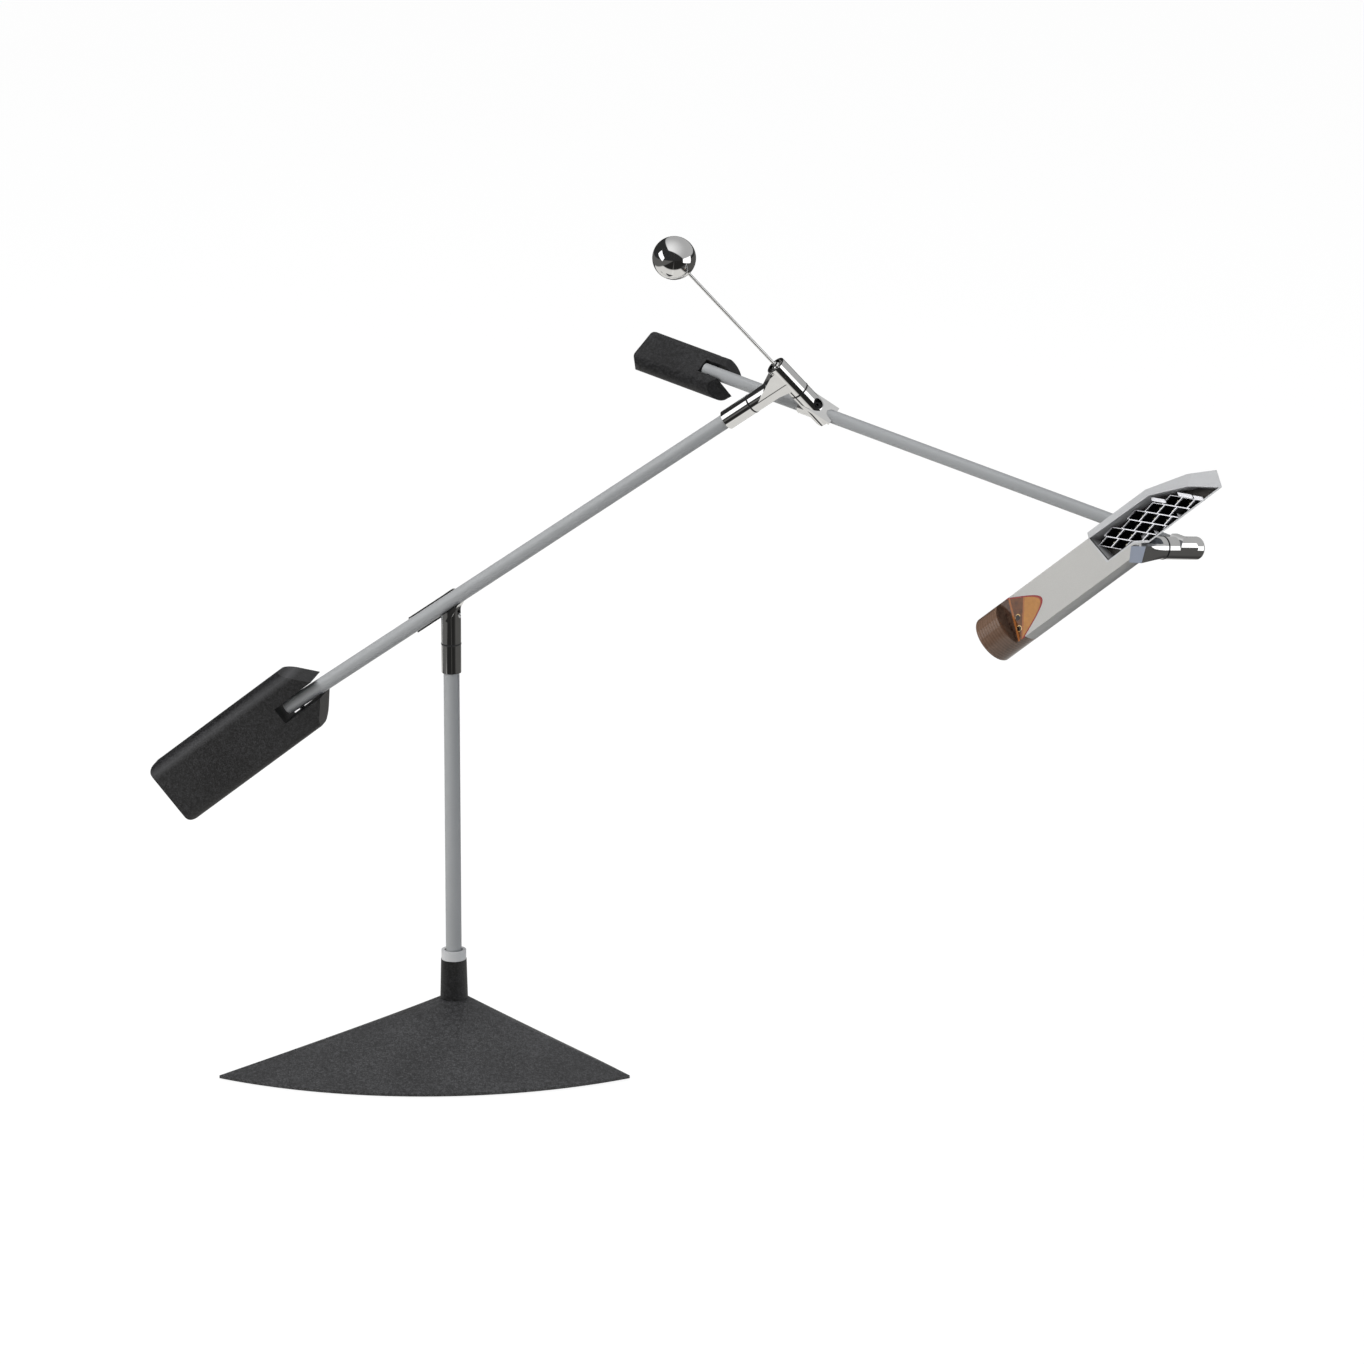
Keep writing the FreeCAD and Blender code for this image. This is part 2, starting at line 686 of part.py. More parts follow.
def reflector_array():
    """Block of square funnels over the LEDs."""
    half_z = housing_length * cell_along_share / 2
    half_y = housing_width * cell_across_share / 2
    base = housing_back + housing_floor + board_thickness
    top = base + reflector_height
    small = led_size * cup_share
    edge = reflector_wall / 2
    cells = []
    cups = []
    for y, z, _ in reflector_places():
        cells.append(block((base, top), (y - half_y, y + half_y), (z - half_z, z + half_z)))
        wires = [square(base, y, z, small, small), square(top, y, z, half_y - edge, half_z - edge)]
        cups.append(Part.makeLoft(wires, True, True))
    array = cells[0].fuse(cells[1:]).removeSplitter()
    mouth = Part.Face(Part.makePolygon([housing_plan(s, base) for s in mouth_shares + mouth_shares[:1]]))
    room = mouth.makeOffset2D(-reflector_gap).extrude(Vector(reflector_height, 0, 0))
    room = room.cut(undercut(housing_wall + reflector_gap)).cut(placed(swivel_room(), head_to_swivel()))
    return array.cut(cups).common(room)


def leds():
    """Square emitters on the board, under the reflectors that have one."""
    base = housing_back + housing_floor + board_thickness
    half = led_size / 2
    return Part.makeCompound([block((base, base + led_height), (y - half, y + half), (z - half, z + half))
                              for y, z, lit in reflector_places() if lit])


def main():
    """Build every piece in its own frame and write one file for each."""
    os.makedirs("parts", exist_ok=True)
    stem_turn = Placement(Vector(0, 0, 0), Rotation(Z, lower_arm_spin_angle))
    elbow_turn = elbow.multiply(Placement(Vector(0, 0, 0), Rotation(Z, upper_arm_spin_angle)))
    lower_weight_place = weight_frame(lower_arm, lower_tail, lower_weight_turn_angle, lower_weight_tilt_angle)
    upper_weight_place = weight_frame(upper_arm, upper_tail, upper_weight_turn_angle, 0)
    lower_pin_hole = weight_pin(lower_weight_height, lower_pin_along, -1, 0, seat_gap)
    upper_pin_hole = weight_pin(upper_weight_height, upper_pin_along, 1, 0, seat_gap)
    drift = lower_weight_crest / 2 * math.tan(math.radians(lower_weight_tilt_angle))
    lower_weight = counterweight(lower_weight_far, lower_weight_height, lower_weight_thickness, lower_weight_face,
                                 lower_weight_crest, lower_slope_share, lower_lean_share,
                                 lower_weight_round, lower_weight_corner)
    lower_weight = slotted(lower_weight, lower_weight_height, lower_weight_thickness, lower_weight_crest,
                           lower_tube_radius + lower_slot_clearance, lower_slot_relief, -drift, lower_pin_hole)
    upper_weight = counterweight(upper_weight_far, upper_weight_height, upper_weight_thickness, upper_weight_face,
                                 upper_weight_crest, upper_slope_share, upper_lean_share,
                                 upper_weight_round, upper_weight_corner)
    upper_weight = slotted(upper_weight, upper_weight_height, upper_weight_thickness, upper_weight_crest,
                           upper_tube_radius + upper_slot_clearance, upper_slot_relief, 0, upper_pin_hole)
    pieces = {
        "foot_casting": (foot_casting(), stem),
        "foot_plate": (foot_plate(), stem),
        "neck": (neck(), stem),
        "collar": (collar(), stem),
        "stem_tube": (tube(stem_radius, stem_foot_depth,
                           stem_ring_height - stem_sleeve_length + tube_seat_depth), stem),
        "stem_sleeve": (tube_sleeve(stem_sleeve_length, stem_ring_height, stem_radius), stem),
        "stem_ring": (swivel_ring(stem_ring_height, ring_radius), stem),
        "stem_spindle": (spindle(stem_ring_height), stem),
        "stem_saddle": (saddle(stem_ring_height, lower_arm_height, lower_tube_radius,
                               stem_channel_tail, lower_tube_radius), stem_turn),
        "stem_saddle_screw": (upright_screw(lower_arm_height, lower_tube_radius), stem_turn),
        "lower_tube": (tailed_tube(lower_tube_radius, lower_tail,
                                   elbow_ring_along - elbow_sleeve_length + tube_seat_depth,
                                   lower_pin_hole, lower_weight_turn_angle, lower_weight_tilt_angle), lower_arm),
        "lower_weight": (lower_weight, lower_weight_place),
        "lower_weight_pin": (weight_pin(lower_weight_height, lower_pin_along, -1, weight_pin_sink),
                             lower_weight_place),
        "elbow_sleeve": (tube_sleeve(elbow_sleeve_length, elbow_ring_along, lower_tube_radius), lower_arm),
        "elbow_ring": (swivel_ring(elbow_ring_along, ring_radius), lower_arm),
        "elbow_spindle": (spindle(elbow_ring_along), lower_arm),
        "elbow_body": (elbow_body(), elbow),
        "rod_nut": (rod_nut(), elbow),
        "balance_rod": (balance_rod(), elbow),
        "balance_ball": (balance_ball(), elbow),
        "upper_ring": (swivel_ring(upper_ring_along, ring_radius), elbow),
        "upper_spindle": (spindle(upper_ring_along), elbow),
        "upper_saddle": (saddle(upper_ring_along, upper_arm_along, upper_tube_radius,
                                upper_channel_tail, 0), elbow_turn),
        "upper_saddle_screw": (upright_screw(upper_arm_along, upper_tube_radius), elbow_turn),
        "upper_tube": (tailed_tube(upper_tube_radius, upper_tail, head_along + upper_tube_end,
                                   upper_pin_hole, upper_weight_turn_angle, 0), upper_arm),
        "upper_weight": (upper_weight, upper_weight_place),
        "upper_weight_pin": (weight_pin(upper_weight_height, upper_pin_along, 1, weight_pin_sink),
                             upper_weight_place),
        "head_saddle": (head_saddle(), head_swivel),
        "head_ring": (swivel_ring(head_ring_along, head_ring_radius), head_swivel),
        "head_spindle": (spindle(head_ring_along), head_swivel),
        "head_bracket": (head_bracket(), head_swivel),
        "head_body": (head_body(), head),
        "led_housing": (led_housing(), head),
        "led_board": (led_board(), head),
        "reflector_array": (reflector_array(), head),
        "leds": (leds(), head),
        "amber_cap": (amber_cap(), head),
        "cap_frame": (cap_frame(), head),
    }
    for name, (shape, frame) in pieces.items():
        solid = placed(shape, frame)
        print("%-20s valid %s solids %d volume %.0f" % (name, solid.isValid(), len(solid.Solids), solid.Volume))
        solid.exportStep("parts/%s.step" % name)


main()
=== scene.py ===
"""Finishes, small pieces, light and camera for a balanced desk lamp with an LED head."""
from __future__ import annotations

import logging
import math
from dataclasses import dataclass
from enum import Enum
from typing import Iterable, Sequence

import bmesh
import bpy
from mathutils import Matrix, Vector


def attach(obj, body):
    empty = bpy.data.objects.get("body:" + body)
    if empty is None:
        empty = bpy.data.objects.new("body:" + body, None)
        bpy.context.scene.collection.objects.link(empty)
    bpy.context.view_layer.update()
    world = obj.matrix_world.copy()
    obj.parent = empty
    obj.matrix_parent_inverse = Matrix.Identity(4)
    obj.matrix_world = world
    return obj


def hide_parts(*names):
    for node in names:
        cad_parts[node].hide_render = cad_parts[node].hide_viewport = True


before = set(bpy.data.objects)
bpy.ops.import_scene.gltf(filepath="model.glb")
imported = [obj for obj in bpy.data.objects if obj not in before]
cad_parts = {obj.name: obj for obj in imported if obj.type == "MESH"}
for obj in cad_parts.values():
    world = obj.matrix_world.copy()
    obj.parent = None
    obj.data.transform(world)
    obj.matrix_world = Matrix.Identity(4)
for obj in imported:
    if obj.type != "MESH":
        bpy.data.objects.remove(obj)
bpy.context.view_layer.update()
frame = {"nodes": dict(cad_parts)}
LOG = logging.getLogger("desk_lamp")
MM = 0.001
# Distance below which two points count as one.
TOUCH = 0.001 * MM
# Sockets of the Mix node for colours: both inputs and the result.
MIX_FIRST, MIX_SECOND, MIX_RESULT = 6, 7, 2

Colour = tuple[float, float, float]
Pair = tuple[float, float]
Triple = tuple[float, float, float]
Socket = bpy.types.NodeSocket
Mesh = bmesh.types.BMesh
Corners = list[bmesh.types.BMVert]


class Value:
    """Output socket of a shader node, with arithmetic that adds Math nodes."""

    def __init__(self, tree: bpy.types.NodeTree, socket: Socket) -> None:
        """Keep the tree and the socket."""
        self.tree = tree
        self.socket = socket

    def _math(self, operation: str, left: Value | float, right: Value | float = 0.0,
              clamp: bool = False) -> Value:
        """Result of a new Math node, kept from 0 to 1 if clamped."""
        node = self.tree.nodes.new("ShaderNodeMath")
        node.operation = operation
        node.use_clamp = clamp
        for index, operand in enumerate((left, right)):
            if isinstance(operand, Value):
                self.tree.links.new(operand.socket, node.inputs[index])
            else:
                node.inputs[index].default_value = operand
        return Value(self.tree, node.outputs[0])

    def __add__(self, other: Value | float) -> Value:
        """Sum."""
        return self._math("ADD", self, other)

    __radd__ = __add__

    def __sub__(self, other: Value | float) -> Value:
        """Difference."""
        return self._math("SUBTRACT", self, other)

    def __rsub__(self, other: float) -> Value:
        """Difference with a number first."""
        return self._math("SUBTRACT", other, self)

    def __mul__(self, other: Value | float) -> Value:
        """Product."""
        return self._math("MULTIPLY", self, other)

    __rmul__ = __mul__

    def __truediv__(self, other: Value | float) -> Value:
        """Quotient."""
        return self._math("DIVIDE", self, other)

    def __pow__(self, power: float) -> Value:
        """Power."""
        return self._math("POWER", self, power)

    def __abs__(self) -> Value:
        """Size without sign."""
        return self._math("ABSOLUTE", self)

    def sine(self) -> Value:
        """Sine of the value in radians."""
        return self._math("SINE", self)

    def clamped(self) -> Value:
        """Value kept from 0 to 1."""
        return self._math("ADD", self, 0.0, True)

    def step(self, edge: float, soft: float) -> Value:
        """Mask that rises softly from 0 to 1 and is a half at an edge."""
        return ((self - edge) / soft + 0.5).clamped()


class Nodes:
    """Node tree and the ways in which nodes are added to it."""

    def __init__(self, tree: bpy.types.NodeTree, output: str) -> None:
        """Empty the tree and give it an output node of a type."""
        self.tree = tree
        self.tree.nodes.clear()
        self.out = self.tree.nodes.new(output)

    def node(self, kind: str, settings: dict | None = None,
             inputs: dict | None = None) -> bpy.types.Node:
        """Add a node.

        Args:
            kind: The node's type.
            settings: Attributes that are set first.
            inputs: Values or links of its sockets, by name or index.

        Returns:
            The node.
        """
        made = self.tree.nodes.new(kind)
        for key, value in (settings or {}).items():
            setattr(made, key, value)
        for key, value in (inputs or {}).items():
            if isinstance(value, Value):
                self.tree.links.new(value.socket, made.inputs[key])
            elif isinstance(value, Socket):
                self.tree.links.new(value, made.inputs[key])
            else:
                made.inputs[key].default_value = value
        return made

    def value(self, node: bpy.types.Node, output: int | str = 0) -> Value:
        """Wrap an output of a node."""
        return Value(self.tree, node.outputs[output])

    def close(self, shader: Socket) -> None:
        """Link a shader to the tree's output."""
        self.tree.links.new(shader, self.out.inputs[0])

    def dot(self, vector: Socket, direction: Triple) -> Value:
        """Dot product of a vector and a fixed direction."""
        inputs = {0: vector, 1: direction}
        node = self.node("ShaderNodeVectorMath", {"operation": "DOT_PRODUCT"}, inputs)
        return self.value(node, "Value")

    def axes(self, vector: Socket) -> tuple[Value, Value, Value]:
        """X, Y and Z of a vector."""
        node = self.node("ShaderNodeSeparateXYZ", inputs={0: vector})
        return self.value(node, 0), self.value(node, 1), self.value(node, 2)

    def noise(self, where: Socket, size: float, detail: float = 2.0,
              rough: float = 0.5) -> Value:
        """Noise from 0 to 1 with bumps of a size in metres."""
        inputs = {"Vector": where, "Scale": 1 / size, "Detail": detail, "Roughness": rough}
        return self.value(self.node("ShaderNodeTexNoise", inputs=inputs), "Fac")

    def ramp(self, factor: Value, stops: Sequence[tuple[float, Colour]]) -> Socket:
        """Colour ramp with a colour at each stop from 0 to 1."""
        node = self.node("ShaderNodeValToRGB", inputs={"Fac": factor})
        elements = node.color_ramp.elements
        for index, (at, colour) in enumerate(stops):
            element = elements[index] if index < 2 else elements.new(at)
            element.position = at
            element.color = (*colour, 1.0)
        return node.outputs["Color"]

    def blend(self, factor: Value, first: Socket, second: Socket) -> Socket:
        """Colour mixed from two others by a factor."""
        inputs = {0: factor, MIX_FIRST: first, MIX_SECOND: second}
        return self.node("ShaderNodeMix", {"data_type": "RGBA"}, inputs).outputs[MIX_RESULT]

    def either(self, factor: Value | float, first: Socket, second: Socket) -> Socket:
        """Shader mixed from two others by a factor."""
        inputs = {0: factor, 1: first, 2: second}
        return self.node("ShaderNodeMixShader", inputs=inputs).outputs[0]

    def glow(self, strength: Value | float, colour: Colour = (1.0, 1.0, 1.0)) -> Socket:
        """Emission of a strength."""
        inputs = {"Color": rgba(colour), "Strength": strength}
        return self.node("ShaderNodeEmission", inputs=inputs).outputs[0]

    def matt(self, colour: Socket) -> Socket:
        """Matt surface of a colour."""
        return self.node("ShaderNodeBsdfDiffuse", inputs={"Color": colour}).outputs[0]

    def by_ray(self, lighting: Socket, mirrored: Socket, shown: Socket) -> None:
        """Close the tree with what lights matt pieces, what shiny ones mirror and what is seen."""
        path = self.node("ShaderNodeLightPath")
        seen = self.value(path, "Is Camera Ray") + self.value(path, "Is Transmission Ray")
        others = self.either(self.value(path, "Is Glossy Ray"), lighting, mirrored)
        self.close(self.either(seen, others, shown))


class Shader(Nodes):
    """One material and the nodes that are added to it."""

    def __init__(self, name: str) -> None:
        """Create an empty material with an output."""
        self.material = bpy.data.materials.new(name)
        self.material.use_nodes = True
        super().__init__(self.material.node_tree, "ShaderNodeOutputMaterial")

    def place(self, home: Matrix | None = None) -> Socket:
        """Object coordinates in metres, or the same point as a frame of the lamp sees it."""
        plain = self.node("ShaderNodeTexCoord").outputs["Object"]
        if home is None:
            return plain
        turn = home.to_3x3().transposed()
        moved = -(turn @ home.translation)
        inputs = {"Vector": plain, "Location": moved, "Rotation": turn.to_euler()}
        return self.node("ShaderNodeMapping", {"vector_type": "POINT"}, inputs).outputs[0]

    def bump(self, height: Value, distance: float, strength: float = 1.0) -> Socket:
        """Normal bumped by a height."""
        inputs = {"Height": height, "Distance": distance, "Strength": strength}
        return self.node("ShaderNodeBump", inputs=inputs).outputs["Normal"]

    def surface(self, **inputs: object) -> bpy.types.Material:
        """Close the material with a Principled surface, with underscores for spaces."""
        named = {key.replace("_", " "): value for key, value in inputs.items()}
        self.close(self.node("ShaderNodeBsdfPrincipled", inputs=named).outputs[0])
        return self.material


def rgba(colour: Colour) -> tuple[float, float, float, float]:
    """Colour with full alpha."""
    return (*colour, 1.0)


def shade(colour: Colour, factor: float) -> Colour:
    """Colour made darker or lighter by a factor."""
    return tuple(min(1.0, part * factor) for part in colour)


def once(items: Iterable) -> list:
    """Items without repeats, in the order in which they come."""
    return list(dict.fromkeys(items))


def branch(base: Matrix, along: float, spin: float, tilt: float) -> Matrix:
    """Frame further along another one's Z.

    Args:
        base: The first frame.
        along: Distance in millimetres.
        spin: Degrees about that Z.
        tilt: Degrees about the new Y.

    Returns:
        The new frame.
    """
    spun = Matrix.Rotation(math.radians(spin), 4, "Z")
    tilted = Matrix.Rotation(math.radians(tilt), 4, "Y")
    return base @ Matrix.Translation((0, 0, along * MM)) @ (spun @ tilted)


def shifted(base: Matrix, x: float, y: float, z: float) -> Matrix:
    """Frame moved by millimetres along its own axes."""
    return base @ Matrix.Translation((x * MM, y * MM, z * MM))


@dataclass(frozen=True)
class Chain:
    """Frames of the arms and the head, with the angles and lengths of the solids."""

    saddle_angle: float = 54.2
    lower_spin: float = -18.36
    lower_height: float = 346.0
    elbow_along: float = 322.0
    elbow_spin: float = 24.13
    elbow_angle: float = 90.0
    upper_along: float = 35.4
    upper_spin: float = -144.2
    head_along: float = 296.9
    head_saddle_spin: float = -133.91
    head_saddle_angle: float = 65.22
    swivel_drop: float = 2.2
    head_axis_along: float = -27.2
    head_spin: float = 127.01
    head_angle: float = 77.94
    head_roll: float = 1.85
    head_shift: Triple = (3.22, -11.45, 0.6)

    def stem_turn(self) -> Matrix:
        """Stem's frame, turned to the lower saddle."""
        return Matrix.Rotation(math.radians(self.lower_spin), 4, "Z")

    def lower_arm(self) -> Matrix:
        """Frame on the stem's crossing, with Z along the lower arm."""
        return branch(Matrix(), self.lower_height, self.lower_spin, self.saddle_angle)

    def elbow(self) -> Matrix:
        """Frame of the elbow's cross barrel."""
        return branch(self.lower_arm(), self.elbow_along, self.elbow_spin, self.elbow_angle)

    def elbow_turn(self) -> Matrix:
        """Elbow's frame, turned to the upper saddle."""
        return self.elbow() @ Matrix.Rotation(math.radians(self.upper_spin), 4, "Z")

    def upper_arm(self) -> Matrix:
        """Frame on the elbow's crossing, with Z along the upper arm."""
        return branch(self.elbow(), self.upper_along, self.upper_spin, self.saddle_angle)

    def head_line(self) -> Matrix:
        """Frame on the head's crossing, before the swivel's drop."""
        return branch(self.upper_arm(), self.head_along, self.head_saddle_spin,
                      self.head_saddle_angle)

    def head_swivel(self) -> Matrix:
        """Frame of the head's swivel."""
        return shifted(self.head_line(), 0, -self.swivel_drop, 0)

    def head(self) -> Matrix:
        """Frame on the head's axis, with X out of its flat front and Z to its nose."""
        turned = branch(self.head_line(), self.head_axis_along, self.head_spin, self.head_angle)
        rolled = turned @ Matrix.Rotation(math.radians(self.head_roll), 4, "Z")
        return shifted(rolled, *self.head_shift)


CHAIN = Chain()


@dataclass(frozen=True)
class PowderCoat:
    """Black powder coat with the fine grain of a cast part, with a painted highlight along a
    rounded edge if asked.
    """

    name: str
    dark: Colour = (0.001, 0.001, 0.0011)
    light: Colour = (0.024, 0.024, 0.026)
    grain: float = 1.0 * MM
    pit: float = 2.4 * MM
    patch: float = 48 * MM
    shares: Triple = (0.62, 0.26, 0.12)
    middle: float = 1 / 2.8
    roughness: float = 0.42
    depth: float = 0.16 * MM
    # Painted highlight along the lower weight's rounded edge: where it lies, how wide it is and its
    # colour.
    edge: float | None = None
    edge_width: float = 4.4
    highlight_colour: Colour = (0.055, 0.055, 0.05775)
    weight: Triple = (-161.1, 185.8, 2.9)

    def rounded_edge(self, shader: Shader, colour: Socket, fine: Value) -> Socket:
        """Colour with a painted highlight along the lower weight's rounded edge, broken up by
        noise.
        """
        across, _, _ = shader.axes(shader.place(branch(CHAIN.lower_arm(), *self.weight)))
        band = (1 - abs(across - self.edge * MM) / (self.edge_width * MM)).clamped()
        return shader.blend(band * (fine * 0.8 + 0.4), colour, rgba(self.highlight_colour))

    def make(self) -> bpy.types.Material:
        """Build the material."""
        shader = Shader(self.name)
        where = shader.place()
        fine = shader.noise(where, self.grain, 3.0, 0.7)
        pits = shader.noise(where, self.pit)
        broad = shader.noise(where, self.patch)
        tone = fine * self.shares[0] + pits * self.shares[1] + broad * self.shares[2]
        middle = tuple((a + b) * self.middle for a, b in zip(self.dark, self.light))
        colour = shader.ramp(tone, [(0.42, self.dark), (0.5, middle), (0.6, self.light)])
        if self.edge is not None:
            # Paint the highlight along the lower weight's rounded edge.
            colour = self.rounded_edge(shader, colour, fine)
        rough = fine * 0.16 + pits * 0.08 + self.roughness
        bump = shader.bump(fine * 0.7 + pits * 0.3, self.depth, 0.9)
        return shader.surface(Base_Color=colour, Roughness=rough, Specular_IOR_Level=0.5,
                              Normal=bump)


@dataclass(frozen=True)
class SatinMetal:
    """Satin silver coat or anodised metal with a very fine grain."""

    name: str
    colour: Colour
    roughness: float
    metallic: float
    grain: float = 0.4 * MM
    speck: float = 0.04
    patch: float = 60 * MM
    patch_rough: float = 0.08
    grain_rough: float = 0.05

    def make(self) -> bpy.types.Material:
        """Build the material."""
        shader = Shader(self.name)
        where = shader.place()
        fine = shader.noise(where, self.grain, 2.0, 0.6)
        broad = shader.noise(where, self.patch)
        dark, light = (shade(self.colour, 1 + swing) for swing in (-self.speck, self.speck))
        colour = shader.ramp(fine * 0.7 + broad * 0.3, [(0.3, dark), (0.7, light)])
        middle = (self.patch_rough + self.grain_rough) / 2
        rough = broad * self.patch_rough + fine * self.grain_rough + (self.roughness - middle)
        return shader.surface(Base_Color=colour, Roughness=rough, Metallic=self.metallic)


@dataclass(frozen=True)
class Chrome:
    """Polished chrome with faint smudges, and a milled end facet where a piece has one, tinted blue
    as a painted reflection.
    """

    name: str
    colour: Colour = (0.86, 0.86, 0.855)
    roughness: float = 0.02
    # Facet colour: grey of the milled metal with a painted bluish reflection of the side light.
    facet: Colour | None = None
    facet_point: Triple = (0.0, 0.0, 0.0)
    facet_normal: Triple = (0.0, 0.0, 1.0)
    facet_edge: Pair = (-0.12 * MM, 0.05 * MM)
    facet_roughness: float = 0.38
    facet_matt: float = 0.75
    smudge: float = 11 * MM
    grain: float = 0.3 * MM

    def make(self) -> bpy.types.Material:
        """Build the material."""
        shader = Shader(self.name)
        where = shader.place()
        smudge = shader.noise(where, self.smudge, 3.0, 0.6)
        fine = shader.noise(where, self.grain)
        rough = smudge * 0.05 + fine * 0.015 + self.roughness
        colour = shader.ramp(smudge, [(0.35, shade(self.colour, 0.95)), (0.65, self.colour)])
        metal = 1.0
        if self.facet is not None:
            normal = Vector(self.facet_normal).normalized()
            reach = shader.dot(shader.place(CHAIN.head_swivel()), tuple(normal))
            mask = (reach - normal.dot(Vector(self.facet_point)) * MM).step(*self.facet_edge)
            # Milled facet with its painted bluish reflection.
            milled = shader.ramp(fine, [(0.3, shade(self.facet, 0.93)), (0.7, self.facet)])
            colour = shader.blend(mask, colour, milled)
            rough = rough * (1 - mask) + mask * self.facet_roughness
            metal = 1 - mask * self.facet_matt
        return shader.surface(Base_Color=colour, Roughness=rough, Metallic=metal)


@dataclass(frozen=True)
class Moulded:
    """Moulded plastic or rubber."""

    name: str
    colour: Colour
    roughness: float
    specular: float = 0.5
    grain: float = 0.5 * MM
    swing: float = 0.12
    depth: float = 0.02 * MM

    def make(self) -> bpy.types.Material:
        """Build the material."""
        shader = Shader(self.name)
        fine = shader.noise(shader.place(), self.grain)
        colour = shader.ramp(fine, [(0.35, shade(self.colour, 0.85)), (0.65, self.colour)])
        rough = fine * self.swing + (self.roughness - self.swing / 2)
        return shader.surface(Base_Color=colour, Roughness=rough, Specular_IOR_Level=self.specular,
                              Normal=shader.bump(fine, self.depth, 0.4))


@dataclass(frozen=True)
class Amber:
    """Amber plastic: a smoky ring with turned grooves, and a window painted with what lies behind
    it, dark in painted shade to golden at its tip in painted light that comes through.
    """

    name: str
    ring: tuple[Colour, Colour]
    # Cavity behind the window, in painted shade.
    dark: Colour
    frame: Colour
    # Golden colour of the tip: painted light coming through the amber.
    gold: Colour
    edge: Colour
    roughness: float
    # Colour of the painted glints along the holes' rims.
    glint: Colour = (0.9, 0.6, 0.25)
    ring_edge: float = -129.0
    left_bar: Pair = (0.187, 124.0)
    right_bar: Pair = (0.585, 112.8)
    bar: float = 1.6
    bar_wave: float = 0.8
    holes: tuple[Pair, ...] = ((0.7, -119.6), (8.5, -122.2))
    hole_radius: float = 2.1
    glint_width: float = 0.45
    cone_tip: float = -94.4
    cone_radius: float = 6.7
    cone_slope: float = 0.41
    edge_width: float = 0.9
    window_depth: float = 6.3
    cloud: float = 3.5 * MM
    groove: float = 2.3
    groove_depth: float = 0.06 * MM
    wide: float = 0.4 * MM
    thin: float = 0.3 * MM

    def window(self, shader: Shader, across: Value, along: Value, radius: Value,
               cloud: Value) -> Socket:
        """Colours painted on the flat window for what lies behind it: the cavity and the frame's
        inside in painted shade, the frame's bars, near-black holes in painted shade with painted
        glints, and the golden tip in painted light that comes through.

        Args:
            shader: The material's nodes.
            across: Y in the head's frame, in metres.
            along: Z in the head's frame.
            radius: Distance from the head's axis.
            cloud: Noise that softens the edges.

        Returns:
            The colour.
        """
        wave = (cloud - 0.5) * (self.bar_wave * MM)
        left, right = (along + across * slope + height * MM + wave
                       for slope, height in (self.left_bar, self.right_bar))
        # Left of the frame: the cavity in painted shade.
        smoky = shader.ramp(cloud, [(0.3, self.dark), (0.8, self.ring[0])])
        # Inside the frame: darker copies of the frame's colour, painted shade.
        inside = shader.ramp(cloud, [(0.3, shade(self.frame, 0.25)), (0.8, shade(self.frame, 0.5))])
        colour = shader.blend(left.step(0, self.wide), smoky, inside)
        bars = left.step(0, self.thin) * (1 - left.step(self.bar * MM, self.thin))
        bars = (bars + right.step(-self.bar * MM, self.thin)).clamped()
        colour = shader.blend(bars, colour, rgba(self.frame))
        for y, z in self.holes:
            dy, dz = across - y * MM, along - z * MM
            reach = (dy * dy + dz * dz) ** 0.5
            edge = (1 - abs(reach - self.hole_radius * MM) / (self.glint_width * MM)).clamped()
            # Each of the holes is painted near black as painted shade, with a painted glint along
            # its rim.
            hole = rgba(shade(self.dark, 0.2))
            colour = shader.blend(reach.step(self.hole_radius * MM, self.thin), hole, colour)
            colour = shader.blend(edge * cloud.step(0.5, 0.15), colour, rgba(self.glint))
        # Golden tip: painted light coming through the amber.
        golden = shader.ramp(cloud, [(0.3, shade(self.gold, 0.8)), (0.8, self.gold)])
        colour = shader.blend(right.step(0, self.wide), colour, golden)
        cone = radius + (along - self.cone_tip * MM) * self.cone_slope
        rim = cone - (self.cone_radius - self.edge_width) * MM
        return shader.blend(rim.step(0, 0.5 * MM), colour, rgba(self.edge))

    def make(self) -> bpy.types.Material:
        """Build the material."""
        shader = Shader(self.name)
        local = shader.place(CHAIN.head())
        out, across, along = shader.axes(local)
        radius = (out * out + across * across) ** 0.5
        cloud = shader.noise(local, self.cloud)
        turned = (along * (2 * math.pi / (self.groove * MM))).sine() * 0.5 + 0.5
        tone = cloud * 0.5 + turned * 0.5
        smoky = shader.ramp(tone, [(0.25, self.ring[0]), (0.75, self.ring[1])])
        mask = along.step(self.ring_edge * MM, 0.6 * MM)
        mask = mask * out.step(self.window_depth * MM, self.wide)
        colour = shader.blend(mask, smoky, self.window(shader, across, along, radius, cloud))
        rough = cloud * 0.04 + turned * 0.04 + self.roughness
        bump = shader.bump(turned * (1 - mask), self.groove_depth, 0.6)
        shared = {"Base Color": colour, "Roughness": rough, "IOR": 1.5, "Normal": bump}
        solid, clear = (
            shader.node("ShaderNodeBsdfPrincipled", inputs={**shared, "Transmission Weight": share})
            for share in (0.0, 1.0))
        shader.close(shader.either(mask * 0.06 + 0.1, solid.outputs[0], clear.outputs[0]))
        return shader.material


